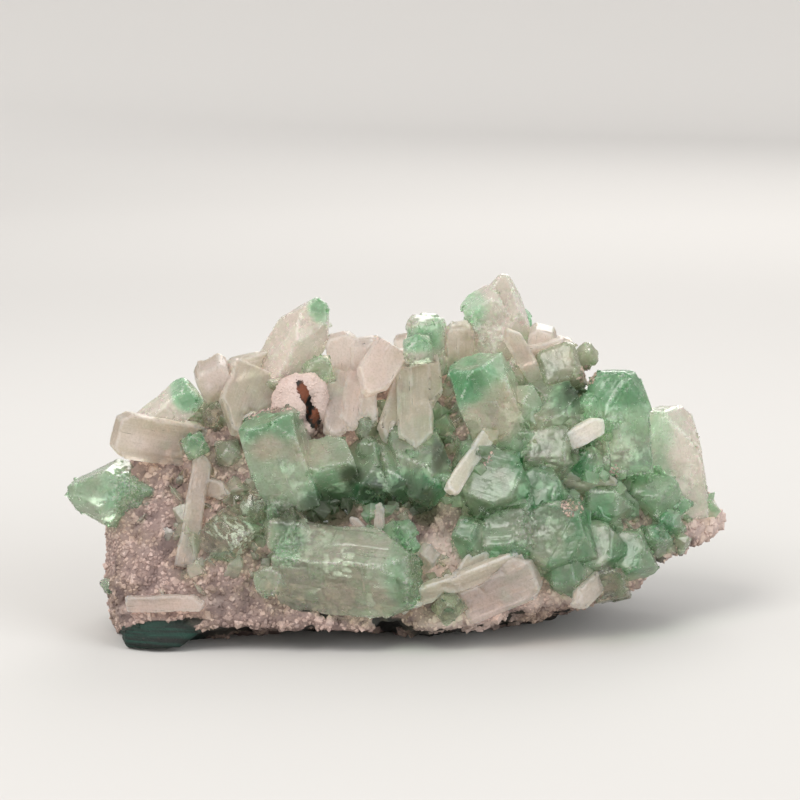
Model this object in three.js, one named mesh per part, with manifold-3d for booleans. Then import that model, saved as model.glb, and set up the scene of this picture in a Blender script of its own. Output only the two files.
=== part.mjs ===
// Apophyllite cluster: green apophyllite and cream stilbite crystals on a slab of basalt with a drusy crust.
// Millimetres, +Z up. The crystal face looks along -Y, and the specimen stands on a flat foot at z = 0.
// Run with Node 22 and the npm packages three and manifold-3d.
import * as THREE from 'three';
import { ConvexGeometry } from 'three/addons/geometries/ConvexGeometry.js';
import { ImprovedNoise } from 'three/addons/math/ImprovedNoise.js';
import { mergeVertices } from 'three/addons/utils/BufferGeometryUtils.js';
import Module from 'manifold-3d';

const wasm = await Module();
wasm.setup();

const { lerp, clamp, degToRad, mapLinear } = THREE.MathUtils;

// ---------------------------------------------------------------------------------------------
// Driving dimensions
// ---------------------------------------------------------------------------------------------

const MATRIX_LEFT = -72;
const MATRIX_RIGHT = 82;
const GAP = 0.3; // between a crystal and what it grows on or against
const EMBED = 3.5; // how far the root of a crystal reaches behind the crust

// The rock's outline, each as [x, value] corners of a broken line. It is undercut in front of FOOT_FRONT.
const RIDGE_HEIGHT = [[-72, 36], [-66, 46], [-55, 52], [-42, 59], [-25, 64], [0, 64], [17, 67],
  [28, 70], [40, 64], [50, 56], [62, 44], [74, 32], [82, 27]];
const RIDGE_DEPTH = [[-72, -6], [-60, -2], [-40, 6], [-20, 10], [20, 13], [50, 13], [82, 16]];
const FRONT_DEPTH = [[-72, -25], [-62, -31], [-10, -33], [15, -31], [40, -25], [56, -17], [70, -5], [82, 8]];
const FRONT_HEIGHT = [[-72, -1], [-54, -1], [-48, 5], [15, 5.5], [40, 9.5], [56, 13], [70, 19], [82, 23]];
const BACK_DEPTH = [[-72, 18], [-55, 31], [-30, 38], [0, 40], [30, 38], [55, 33], [70, 28], [82, 19]];
const FOOT_FRONT = [[-72, -20], [-55, -18], [-45, -4], [10, -3], [30, 8], [60, 24]];
const FOOT_DEPTH = 2; // how far the rock would reach below the ground, where the foot cuts it flat
const FOOT_RIGHT = 36; // the rock lifts off the ground to the right of this line
const RIGHT_RISE = 25;
const RIDGE_WIDTH = 17;
const UNDERCUT_CURVE = 1.5; // how late the underside drops to the foot, 1 being straight
const BACK_CURVE = 2; // how far the back bulges below the ridge, 1 being straight
const ROUNDING = { whole: 0.55, ends: 0.6, edges: 0.4 };
const ROCK_SEGMENTS = [22, 7, 8];
const GROUND = { span: 300, depth: 40 }; // the block that cuts the foot flat

// Lumps of the rock, as [size of a lump, height of a lump].
const ROCK_LUMPS = [[26, 3.2], [9, 2.2]];

// A pale round lump of crust with a dark pit in it. at is [x, z, out]; turn is about Y, in degrees.
const KNOB = { at: [-25, 57, 3], radii: [6.6, 6, 8.8], turn: 20 };
const KNOB_PIT = { at: [-22.8, 57.3, 8.6], radii: [1.5, 3.4, 6.2], turn: 22 };

// Angles between the pole of a face and the long axis of its crystal.
const APOPHYLLITE_PYRAMID = degToRad(60.5);
const STILBITE_GABLE = degToRad(52);

// How much the faces of a crystal vary, as shares of their distances, and how far a gable face leans.
const APOPHYLLITE_VARIES = { side: 0.08, end: 0.06 };
const STILBITE_VARIES = { side: 0.06, end: 0.05, lean: 0.12 };

const WELD = 1e-4; // corners of a geometry closer than this are one
const SAME_CORNER = 0.02; // corners of a crystal closer than this are one
const ON_FACE = 1e-5; // how far past a face a corner may lie by rounding
const PARALLEL = 1e-6; // three faces whose poles span less than this don't meet in a point

const UP = new THREE.Vector3(0, 0, 1);
const FRONT = new THREE.Vector3(0, -1, 0);

// ---------------------------------------------------------------------------------------------
// Small tools
// ---------------------------------------------------------------------------------------------

const noise = new ImprovedNoise();

// The height of a broken line of [x, value] corners at x, level beyond its ends.
function along(line, x) {
  const next = line.findIndex(([corner]) => x < corner);
  if (next === 0) return line[0][1];
  if (next < 0) return line.at(-1)[1];
  const [x0, v0] = line[next - 1];
  const [x1, v1] = line[next];
  return mapLinear(x, x0, x1, v0, v1);
}

// A repeatable stream of numbers from -1 to 1.
function irregular(seed) {
  let state = seed * 2654435761 + 12345;
  return () => {
    state = (Math.imul(state ^ (state >>> 15), 2246822519) + 3266489917) >>> 0;
    return state / 2147483648 - 1;
  };
}

// A closed geometry as a manifold-3d solid.
function solidOf(geometry) {
  const bare = geometry.clone();
  bare.deleteAttribute('normal');
  bare.deleteAttribute('uv');
  const merged = mergeVertices(bare, WELD);
  return new wasm.Manifold(new wasm.Mesh({
    numProp: 3,
    vertProperties: merged.attributes.position.array,
    triVerts: new Uint32Array(merged.index.array),
  }));
}

// A manifold-3d solid as a geometry for three.js.
function geometryOf(solid) {
  const mesh = solid.getMesh();
  const geometry = new THREE.BufferGeometry();
  geometry.setAttribute('position', new THREE.BufferAttribute(mesh.vertProperties, mesh.numProp));
  geometry.setIndex(new THREE.BufferAttribute(mesh.triVerts, 1));
  return geometry;
}

// The largest of the pieces that a cut leaves, so that no crumb stays loose.
function largestPiece(solid) {
  return solid.decompose().reduce((a, b) => (a.volume() > b.volume() ? a : b));
}

// ---------------------------------------------------------------------------------------------
// The rock
// ---------------------------------------------------------------------------------------------

const ridgeFront = (x) => along(RIDGE_DEPTH, x) - RIDGE_WIDTH / 2;
const ridgeBack = (x) => along(RIDGE_DEPTH, x) + RIDGE_WIDTH / 2;

// How far forward the crust lies at x and z, without its lumps.
function frontFace(x, z) {
  const share = clamp(mapLinear(z, along(FRONT_HEIGHT, x), along(RIDGE_HEIGHT, x), 0, 1), 0, 1);
  return lerp(along(FRONT_DEPTH, x), ridgeFront(x), share);
}

// The underside at x and y: undercut in front, flat on the foot, and rising to the right.
function underside(x, y) {
  const behindFront = clamp(mapLinear(y, along(FRONT_DEPTH, x), along(FOOT_FRONT, x), 0, 1), 0, 1);
  const rise = RIGHT_RISE * clamp(mapLinear(x, FOOT_RIGHT, MATRIX_RIGHT, 0, 1), 0, 1);
  return lerp(along(FRONT_HEIGHT, x), rise - FOOT_DEPTH, behindFront ** UNDERCUT_CURVE);
}

// One point of the rock. a runs left to right, b front to back and c from the underside to the ridge,
// each from 0 to 1.
function rockPoint(a, b, c) {
  const x = lerp(MATRIX_LEFT, MATRIX_RIGHT, a);
  const front = lerp(along(FRONT_DEPTH, x), ridgeFront(x), c);
  const back = lerp(along(BACK_DEPTH, x), ridgeBack(x), c ** BACK_CURVE);
  const y = lerp(front, back, b);
  return new THREE.Vector3(x, y, lerp(underside(x, y), along(RIDGE_HEIGHT, x), c));
}

// Draws one coordinate of a box towards the middle where the other two are large, which rounds the edges.
function rounded(u, v, w) {
  return u * Math.sqrt(1 - (ROUNDING.whole * (v * v + w * w)) / 3);
}

// Moves each corner of a geometry along its normal, by the height that heightAt gives for its place.
function raise(geometry, heightAt) {
  geometry.computeVertexNormals();
  const { position, normal } = geometry.attributes;
  const p = new THREE.Vector3();
  const out = new THREE.Vector3();
  for (let i = 0; i < position.count; i++) {
    p.fromBufferAttribute(position, i);
    out.fromBufferAttribute(normal, i);
    position.setXYZ(i, ...p.addScaledVector(out, heightAt(p)));
  }
}

// The rock as a rounded box, bent to the outlines above and then lumped. grow moves its skin outwards.
function rockGeometry(grow) {
  const box = new THREE.BoxGeometry(2, 2, 2, ...ROCK_SEGMENTS);
  box.deleteAttribute('normal');
  box.deleteAttribute('uv');
  const rock = mergeVertices(box);
  const position = rock.attributes.position;
  const p = new THREE.Vector3();
  for (let i = 0; i < position.count; i++) {
    p.fromBufferAttribute(position, i);
    const a = rounded(p.x, p.y * ROUNDING.ends, p.z * ROUNDING.ends);
    const b = rounded(p.y, p.z, p.x * ROUNDING.edges);
    const c = rounded(p.z, p.y, p.x * ROUNDING.edges);
    position.setXYZ(i, ...rockPoint((a + 1) / 2, (b + 1) / 2, (c + 1) / 2));
  }
  for (const [size, rise] of ROCK_LUMPS) {
    raise(rock, ({ x, y, z }) => rise * noise.noise(x / size, y / size, z / size));
  }
  raise(rock, () => grow);
  return rock;
}

// A round lump on the crust.
function lump({ at: [x, z, out], radii: [rx, ry, rz], turn }, grow) {
  const geometry = new THREE.IcosahedronGeometry(1, 1);
  geometry.scale(rx + grow, ry + grow, rz + grow);
  geometry.rotateY(degToRad(turn));
  geometry.translate(x, frontFace(x, z) - out, z);
  return solidOf(geometry);
}

// The rock with its knob, cut flat at the ground.
function rockSolid(grow) {
  const ground = new THREE.BoxGeometry(GROUND.span, GROUND.span, GROUND.depth);
  ground.translate(0, 0, -GROUND.depth / 2 - grow);
  return solidOf(rockGeometry(grow))
    .add(lump(KNOB, grow))
    .subtract(lump(KNOB_PIT, 0))
    .subtract(solidOf(ground));
}

// ---------------------------------------------------------------------------------------------
// Crystals, each the space inside a set of flat faces
// ---------------------------------------------------------------------------------------------

// A flat face: the direction it looks in, and its distance from the crystal's own origin.
function face(x, y, z, reach) {
  return { pole: new THREE.Vector3(x, y, z).normalize(), reach };
}

// The point where three faces meet, or null where two of them are parallel.
function meeting(f, g, h) {
  const gh = new THREE.Vector3().crossVectors(g.pole, h.pole);
  const hf = new THREE.Vector3().crossVectors(h.pole, f.pole);
  const fg = new THREE.Vector3().crossVectors(f.pole, g.pole);
  const size = f.pole.dot(gh);
  if (Math.abs(size) < PARALLEL) return null;
  gh.multiplyScalar(f.reach).addScaledVector(hf, g.reach).addScaledVector(fg, h.reach);
  return gh.divideScalar(size);
}

// The solid inside flat faces.
function insideFaces(faces) {
  const corners = [];
  for (let i = 0; i < faces.length; i++)
    for (let j = i + 1; j < faces.length; j++)
      for (let k = j + 1; k < faces.length; k++) {
        const corner = meeting(faces[i], faces[j], faces[k]);
        if (!corner || faces.some(({ pole, reach }) => pole.dot(corner) > reach + ON_FACE)) continue;
        if (corners.every((other) => other.distanceTo(corner) > SAME_CORNER)) corners.push(corner);
      }
  return new ConvexGeometry(corners);
}

// Apophyllite: a square prism. Four pyramid faces stand over its edges, and a flat end cuts off their point:
// blunt is 0 for a full point and 1 for a flat end with no pyramid.
function apophylliteFaces({ width, depth = width, length, blunt = 0.4 }, vary) {
  const apex = length + (blunt * Math.tan(APOPHYLLITE_PYRAMID) * (width + depth)) / 2 / Math.SQRT2;
  const side = Math.sin(APOPHYLLITE_PYRAMID) / Math.SQRT2;
  const up = Math.cos(APOPHYLLITE_PYRAMID);
  const faces = [face(0, 0, 1, length), face(0, 0, -1, 0)];
  for (const s of [-1, 1]) {
    faces.push(face(s, 0, 0, (width / 2) * (1 + APOPHYLLITE_VARIES.side * vary())));
    faces.push(face(0, s, 0, (depth / 2) * (1 + APOPHYLLITE_VARIES.side * vary())));
    for (const t of [-1, 1]) {
      faces.push(face(s * side, t * side, up, apex * up * (1 + APOPHYLLITE_VARIES.end * vary())));
    }
  }
  return faces;
}

// Stilbite: a flat blade with a gable end.
function stilbiteFaces({ width, depth = width * 0.4, length, blunt = 0.4 }, vary) {
  const side = Math.sin(STILBITE_GABLE);
  const up = Math.cos(STILBITE_GABLE);
  const apex = length + (blunt * width * side) / up / 2;
  const faces = [face(0, 0, 1, length), face(0, 0, -1, 0)];
  for (const s of [-1, 1]) {
    faces.push(face(s, 0, 0, (width / 2) * (1 + STILBITE_VARIES.side * vary())));
    faces.push(face(0, s, 0, (depth / 2) * (1 + STILBITE_VARIES.side * vary())));
    const lean = STILBITE_VARIES.lean * vary();
    faces.push(face(s * side, lean, up, apex * up * (1 + STILBITE_VARIES.end * vary())));
  }
  return faces;
}

// A place given as [x, z, out]: a point of the front face, and how far it stands out from it.
const place = ([x, z, out]) => new THREE.Vector3(x, frontFace(x, z) - out, z);

// Stands a crystal along an axis by the shortest turn.
function shortestWay(axis) {
  return new THREE.Quaternion().setFromUnitVectors(UP, axis);
}

// Stands a blade along an axis with its flat side to the front.
function flatToFront(axis) {
  const across = new THREE.Vector3().crossVectors(axis, FRONT).normalize();
  const through = new THREE.Vector3().crossVectors(axis, across);
  return new THREE.Quaternion().setFromRotationMatrix(new THREE.Matrix4().makeBasis(across, through, axis));
}

// One crystal from its root to its tip, turned about its own axis. grow moves every face outwards.
function crystalSolid({ facesOf, standing }, crystal, grow) {
  const root = place(crystal.root);
  const axis = place(crystal.tip).sub(root);
  const length = axis.length() + EMBED;
  axis.normalize();
  const vary = irregular(Math.round(7 * root.x + 31 * root.z + 101 * crystal.width));
  const faces = facesOf({ ...crystal, length }, vary);
  for (const f of faces) f.reach += grow;
  const geometry = insideFaces(faces);
  geometry.rotateZ(degToRad(crystal.turn ?? 0));
  geometry.applyQuaternion(standing(axis));
  geometry.translate(...root.addScaledVector(axis, -EMBED));
  return solidOf(geometry);
}

// ---------------------------------------------------------------------------------------------
// The specimen
// ---------------------------------------------------------------------------------------------

const ROCK_MATERIAL = new THREE.MeshStandardMaterial({ color: 0xa8908a, roughness: 0.9, metalness: 0 });

const GREEN_APOPHYLLITE = {
  name: 'apophyllite',
  facesOf: apophylliteFaces,
  standing: shortestWay,
  material: new THREE.MeshStandardMaterial({ color: 0x8fb896, roughness: 0.2, metalness: 0 }),
};
const PALE_APOPHYLLITE = {
  name: 'apophyllite',
  facesOf: apophylliteFaces,
  standing: shortestWay,
  material: new THREE.MeshStandardMaterial({ color: 0xc6d0c0, roughness: 0.2, metalness: 0 }),
};
const STILBITE = {
  name: 'stilbite',
  facesOf: stilbiteFaces,
  standing: flatToFront,
  material: new THREE.MeshStandardMaterial({ color: 0xd8c3b4, roughness: 0.4, metalness: 0 }),
};

// A named mesh whose own origin is the middle of its geometry.
function meshOf(name, solid, material) {
  const geometry = geometryOf(solid);
  geometry.computeBoundingBox();
  const middle = geometry.boundingBox.getCenter(new THREE.Vector3());
  geometry.translate(-middle.x, -middle.y, -middle.z);
  const mesh = new THREE.Mesh(geometry, material);
  mesh.name = name;
  mesh.position.copy(middle);
  return mesh;
}

const specimen = new THREE.Group();
specimen.add(meshOf('matrix', largestPiece(rockSolid(0)), ROCK_MATERIAL));

// The space that the rock and the crystals placed so far take up, with the gap around them.
let occupied = rockSolid(GAP);

// Adds one node of crystals that have grown together, cut where it meets the rock or an earlier node.
// The root and tip of a crystal are [x, z, out].
function growCrystals(where, mineral, crystals) {
  const together = (grow) =>
    crystals.map((crystal) => crystalSolid(mineral, crystal, grow)).reduce((a, b) => a.add(b));
  const solid = largestPiece(together(0).subtract(occupied));
  specimen.add(meshOf(`${mineral.name}_${where}`, solid, mineral.material));
  occupied = occupied.add(together(GAP));
}

// The large crystals, which the others grow against.
growCrystals('front_block', GREEN_APOPHYLLITE, [
  { root: [-25, 21, 1], tip: [3.5, 20.5, 10], width: 16.5, depth: 14, turn: 9, blunt: 0.6 },
  { root: [-30, 18, 0], tip: [-32, 19, 7.5], width: 6.5, turn: 4, blunt: 0.6 },
  { root: [-26, 28, 0], tip: [-29, 30, 9.5], width: 9.5, turn: 25, blunt: 0.5 },
]);
growCrystals('left_end', GREEN_APOPHYLLITE, [
  { root: [-69, 36, -4], tip: [-80, 39.5, 6], width: 12, turn: 12, blunt: 0.15 },
]);
growCrystals('left_giant', GREEN_APOPHYLLITE, [
  { root: [-26.3, 38, 0], tip: [-32.5, 56.5, 12], width: 13.5, depth: 14, turn: -8, blunt: 0.75 },
  { root: [-17, 40, -1], tip: [-18.5, 48, 9], width: 11, turn: 14, blunt: 0.8 },
]);
growCrystals('centre', GREEN_APOPHYLLITE, [
  { root: [26, 50, 0], tip: [18.2, 69, 13], width: 14, depth: 13, turn: -6, blunt: 0.6 },
  { root: [31.5, 50, 0], tip: [28.5, 61, 9], width: 10, turn: 20, blunt: 0.5 },
]);
growCrystals('right_barrel', GREEN_APOPHYLLITE, [
  { root: [54.8, 43.5, 5], tip: [53.5, 66, 8.5], width: 14, depth: 13, turn: 20, blunt: 0.4 },
  { root: [50, 49, 4], tip: [48, 61, 10], width: 7.5, turn: 10, blunt: 0.5 },
  { root: [48, 43, 2], tip: [45.2, 44.5, 9.5], width: 7, turn: 15, blunt: 0.6 },
]);
growCrystals('horn', PALE_APOPHYLLITE, [
  { root: [-29, 66, -2], tip: [-19.5, 83, 1], width: 9.5, turn: 40, blunt: 0.12 },
]);
growCrystals('peak', PALE_APOPHYLLITE, [
  { root: [24, 70, -4], tip: [26, 88.5, 1], width: 12, turn: 40, blunt: 0.06 },
  { root: [24.5, 73, -2], tip: [19.3, 83.2, 2], width: 9, turn: 12, blunt: 0.7 },
]);
growCrystals('right_end', PALE_APOPHYLLITE, [
  { root: [70, 30, -4], tip: [66.5, 54.5, -1], width: 13.5, depth: 12, turn: 8, blunt: 0.5 },
]);

// Apophyllite along the ridge.
growCrystals('ridge_stub', GREEN_APOPHYLLITE, [
  { root: [7, 66, -3], tip: [6.5, 78.5, 1], width: 8, turn: 25, blunt: 0.7 },
  { root: [5, 69, 0], tip: [4.5, 72, 8], width: 6.5, turn: 5, blunt: 0.5 },
]);
growCrystals('ridge_yellow', GREEN_APOPHYLLITE, [
  { root: [-20, 64, -1], tip: [-20.5, 66.5, 8], width: 7, turn: 16, blunt: 0.55 },
]);
growCrystals('ridge_window', PALE_APOPHYLLITE, [
  { root: [41, 63, -1], tip: [39, 68, 8.5], width: 9.5, turn: 10, blunt: 0.8 },
  { root: [42, 65, -3], tip: [48.5, 69.5, 0], width: 5.2, turn: 10, blunt: 0.75 },
]);

// The dense field between the centre and the right.
growCrystals('right_of_centre', GREEN_APOPHYLLITE, [
  { root: [38, 51, -1], tip: [36, 60, 10], width: 14.5, turn: 15, blunt: 0.65 },
  { root: [38, 44, -1], tip: [36, 49.5, 11], width: 13.5, turn: 35, blunt: 0.5 },
]);
growCrystals('middle', GREEN_APOPHYLLITE, [
  { root: [25, 37, 0], tip: [22.5, 43, 11], width: 16, turn: 12, blunt: 0.6 },
  { root: [19, 42, 0], tip: [17, 49, 8], width: 9, turn: 40, blunt: 0.4 },
  { root: [36.3, 36, 0], tip: [34, 40, 11], width: 10.5, turn: 20, blunt: 0.6 },
]);
growCrystals('lower_right', GREEN_APOPHYLLITE, [
  { root: [28, 25, 0], tip: [25, 31, 10], width: 13, turn: 30, blunt: 0.55 },
  { root: [18.5, 26, 1], tip: [16, 31, 9.5], width: 9, depth: 11, turn: 10, blunt: 0.3 },
  { root: [31, 31, 0], tip: [29, 36, 9], width: 9, turn: 25, blunt: 0.5 },
  { root: [40, 26, 0], tip: [37, 30, 12], width: 15, turn: 6, blunt: 0.65 },
  { root: [42, 18, 1], tip: [39, 21, 10], width: 8.5, turn: 40, blunt: 0.4 },
  { root: [49, 22.5, 1], tip: [47, 26, 9], width: 11.5, turn: 30, blunt: 0.6 },
  { root: [57.5, 20.5, 1], tip: [55.5, 24, 9], width: 9.5, turn: 12, blunt: 0.6 },
]);
growCrystals('bottom_clear', PALE_APOPHYLLITE, [
  { root: [52, 14.5, 0], tip: [50.5, 16.5, 8], width: 8, depth: 7, turn: 5, blunt: 0.75 },
]);
growCrystals('right_middle', GREEN_APOPHYLLITE, [
  { root: [52, 32.5, 1], tip: [49.8, 35, 9], width: 9, turn: 30, blunt: 0.5 },
]);
growCrystals('right_rhomb', GREEN_APOPHYLLITE, [
  { root: [65, 32, 1], tip: [62.3, 38.5, 10], width: 9.5, turn: 38, blunt: 0.7 },
  { root: [66, 31, 1], tip: [74, 31, 6.5], width: 6.5, turn: 45, blunt: 0.1 },
]);
growCrystals('right_small', GREEN_APOPHYLLITE, [
  { root: [67, 26.5, 1], tip: [66.5, 29.5, 8], width: 5.2, turn: 20, blunt: 0.5 },
  { root: [64, 23.5, 1], tip: [62.5, 27, 8], width: 5.4, turn: 35, blunt: 0.2 },
]);

// In and under the hollow in the middle of the face.
growCrystals('hollow', GREEN_APOPHYLLITE, [
  { root: [3, 47, 1], tip: [7.8, 39, 11], width: 12, turn: 30, blunt: 0.4 },
  { root: [-2, 46, 0], tip: [1, 38.5, 8], width: 8, turn: 10, blunt: 0.5 },
  { root: [-8, 45, -3], tip: [-6.8, 38, 7], width: 9, turn: 35, blunt: 0.4 },
  { root: [-8, 52, 1], tip: [-8.5, 52.5, 7], width: 5, turn: 20, blunt: 0.4 },
  { root: [-7, 47, 1], tip: [-8, 48, 7], width: 5.5, turn: 42, blunt: 0.4 },
]);
growCrystals('above_block', GREEN_APOPHYLLITE, [
  { root: [-2, 27, 2], tip: [3, 30.5, 9], width: 6, turn: 25, blunt: 0.3 },
]);
growCrystals('bottom_small', GREEN_APOPHYLLITE, [
  { root: [11.5, 12, 1], tip: [11.5, 14, 8.5], width: 6.2, turn: 40, blunt: 0.15 },
]);

// Smaller apophyllite scattered over the crust on the left.
growCrystals('left_clear', PALE_APOPHYLLITE, [
  { root: [-40, 28, -1], tip: [-44.5, 28, 6], width: 10, depth: 9, turn: 28, blunt: 0.7 },
  { root: [-35, 33, -1], tip: [-36, 36, 7], width: 6.5, turn: 10, blunt: 0.4 },
]);
growCrystals('left_small', GREEN_APOPHYLLITE, [
  { root: [-51, 48, -1], tip: [-50.5, 49, 5], width: 5.2, turn: 28, blunt: 0.5 },
]);
growCrystals('left_chip', GREEN_APOPHYLLITE, [
  { root: [-43, 47, -1], tip: [-42, 47, 4.5], width: 5.4, turn: 12, blunt: 0.4 },
]);
growCrystals('left_grey', PALE_APOPHYLLITE, [
  { root: [-46, 54.5, -1], tip: [-46.5, 54.5, 4.5], width: 5.6, turn: 35, blunt: 0.2 },
]);
growCrystals('left_shoulder', GREEN_APOPHYLLITE, [
  { root: [-61, 54, -3], tip: [-51, 62, 1], width: 7, turn: 20, blunt: 0.7 },
]);
growCrystals('left_side', GREEN_APOPHYLLITE, [
  { root: [-69, 13, -8], tip: [-74.5, 14, -8], width: 4.2, turn: 20, blunt: 0.2 },
]);

// Apophyllite behind the ridge.
growCrystals('back_left', PALE_APOPHYLLITE, [
  { root: [-27, 62, -14], tip: [-25, 73, -20], width: 8, turn: 20, blunt: 0.5 },
  { root: [-35, 58, -14], tip: [-38, 64, -21], width: 6.5, turn: 35, blunt: 0.3 },
]);
growCrystals('back_right', GREEN_APOPHYLLITE, [
  { root: [27, 66, -15], tip: [29, 77, -21], width: 9, turn: 12, blunt: 0.6 },
  { root: [35, 62, -15], tip: [38, 68, -22], width: 7, turn: 40, blunt: 0.4 },
]);
growCrystals('back_end', PALE_APOPHYLLITE, [
  { root: [62, 42, -14], tip: [64, 49, -20], width: 8, turn: 25, blunt: 0.5 },
]);

// Stilbite blades on the left.
growCrystals('left_blade', STILBITE, [
  { root: [-52, 24, 0.5], tip: [-48.5, 46, 1.5], width: 4.2, depth: 3 },
  { root: [-48, 39, 0], tip: [-41.5, 38, 2.5], width: 4, depth: 2, blunt: 0.1 },
]);
growCrystals('left_plate', STILBITE, [
  { root: [-52, 48.5, -1], tip: [-69.3, 53, 4], width: 11, depth: 3.6, blunt: 0.5 },
]);
growCrystals('left_plates', STILBITE, [
  { root: [-44, 59, -4], tip: [-47.5, 68, -1], width: 8.5, depth: 6, blunt: 0.6 },
  { root: [-35.8, 62.7, 2], tip: [-40.3, 52.3, 6.5], width: 13, depth: 4, blunt: 0.1 },
  { root: [-32, 67.5, -3], tip: [-42, 65.5, -1], width: 6, depth: 4, blunt: 0.7 },
]);
growCrystals('low_blade', STILBITE, [
  { root: [-63, 12, 0], tip: [-48, 13, 1.5], width: 3.4, depth: 2.4 },
]);

// Stilbite sheaves hanging from the ridge.
growCrystals('ridge_leaf', STILBITE, [
  { root: [-3.6, 69, 3.5], tip: [-8.6, 61, 8], width: 8.4, depth: 3, blunt: 0.1 },
]);
growCrystals('ridge_sheaf', STILBITE, [
  { root: [-12, 62, -2], tip: [-15.5, 74.5, 1], width: 8, depth: 4, blunt: 0.7 },
  { root: [-8, 62, -2], tip: [-8.5, 73, 1], width: 8.5, depth: 4.5, turn: 10, blunt: 0.7 },
  { root: [-4, 62, -4], tip: [-2, 70.5, -1], width: 8, depth: 4, turn: -8, blunt: 0.7 },
  { root: [-11, 64, 2], tip: [-13, 53, 6.5], width: 4.2, depth: 2.6 },
  { root: [-7.5, 64, 2], tip: [-8, 52.5, 6.5], width: 4, depth: 2.6, turn: 12 },
  { root: [-16, 62, 2], tip: [-16, 51, 6], width: 5, depth: 3, turn: -10 },
]);
growCrystals('ridge_middle', STILBITE, [
  { root: [3.5, 66, 2.5], tip: [4.2, 47.6, 10.5], width: 8.5, depth: 4, turn: 5, blunt: 0.3 },
  { root: [5.5, 69, 0], tip: [7, 58, 5.5], width: 8, depth: 4, turn: -10, blunt: 0.5 },
  { root: [0.5, 60, 2], tip: [-3, 50, 7], width: 6, depth: 3, turn: -8, blunt: 0.5 },
]);
growCrystals('ridge_lump', STILBITE, [
  { root: [15, 67, -2], tip: [15, 76.5, 1], width: 6.5, depth: 5, blunt: 0.7 },
]);
growCrystals('ridge_slope', STILBITE, [
  { root: [34, 66, -3], tip: [36, 75.5, 0], width: 6.5, depth: 4.5, blunt: 0.6 },
  { root: [39, 63, -3], tip: [41.5, 72.5, 0], width: 6, depth: 4.5, turn: 12, blunt: 0.6 },
]);
growCrystals('ridge_crossed', STILBITE, [
  { root: [33, 65, 4], tip: [26.6, 76.5, 7], width: 4, depth: 2.6, blunt: 0.2 },
  { root: [32, 69.5, 4], tip: [43, 72.5, 5], width: 4, depth: 2.6, turn: 8, blunt: 0.2 },
]);

// Stilbite on the rest of the face.
growCrystals('rod', STILBITE, [
  { root: [22, 52, 7], tip: [12, 40, 14], width: 3.2, depth: 2.2 },
]);
growCrystals('long_blade', STILBITE, [
  { root: [3, 14, 2], tip: [30, 24.5, 9], width: 4.4, depth: 2.6, turn: 15 },
  { root: [16, 20, 3], tip: [23, 31, 9], width: 4.8, depth: 2.4, blunt: 0.2 },
]);
growCrystals('bottom_block', STILBITE, [
  { root: [19, 14, 0], tip: [33, 20.5, 8], width: 11, depth: 7, turn: -10, blunt: 0.6 },
]);
growCrystals('small_block', STILBITE, [
  { root: [5, 22, 1], tip: [7.5, 25, 7.5], width: 4.6, depth: 3.4, blunt: 0.7 },
]);
growCrystals('white_blade', STILBITE, [
  { root: [38, 48, 9], tip: [50.5, 54.5, 15], width: 4.6, depth: 3, blunt: 0.2 },
]);
growCrystals('right_bar', STILBITE, [
  { root: [43, 40, 4], tip: [53.5, 39, 9], width: 4.4, depth: 3 },
]);
growCrystals('bottom_lens', STILBITE, [
  { root: [49.5, 18, 6], tip: [42, 13.5, 9.5], width: 4.8, depth: 3, blunt: 0.2 },
]);
growCrystals('spray', STILBITE, [
  { root: [-7, 27, 2], tip: [-12, 33, 6], width: 1.8, depth: 1.4 },
  { root: [-5, 27, 2], tip: [-5, 36, 7], width: 2, depth: 1.5 },
  { root: [-4, 27, 2], tip: [-1, 34, 6], width: 1.8, depth: 1.4 },
]);
growCrystals('back_blades', STILBITE, [
  { root: [4, 60, -15], tip: [2, 70, -22], width: 7, depth: 4, blunt: 0.6 },
  { root: [9, 60, -15], tip: [11, 69, -21], width: 6, depth: 3.5, turn: 14, blunt: 0.6 },
]);

// The origin is below the middle of the specimen, on the ground.
const bounds = new THREE.Box3().setFromObject(specimen);
const middle = bounds.getCenter(new THREE.Vector3());
specimen.position.set(-middle.x, -middle.y, -bounds.min.z);

const cluster = new THREE.Group();
cluster.name = 'apophyllite_cluster';
cluster.add(specimen);

export default cluster;
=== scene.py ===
# %% [markdown]
# # A cluster of apophyllite and stilbite on basalt
#
# The specimen is a slab of basalt. Its face and its top carry a crust of sugary pink grains, each about a
# millimetre, and out of that crust grow two minerals: apophyllite, in glassy green blocks, and stilbite, in pearly
# cream blades. The CAD model gives the place, the size and the flat faces of the slab and of every large crystal.
# This lesson gives them their skin: worn edges, growth steps, striations, cloudy green colour, the crust itself,
# and the small crystals that are too many for CAD. The first cell loads the model, and part_box gives the box of any
# of its parts. The finished pieces have to stay inside it.

import math
import random

import bmesh
import bpy
import numpy as np
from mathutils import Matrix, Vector, kdtree, noise
from mathutils.bvhtree import BVHTree


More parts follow.
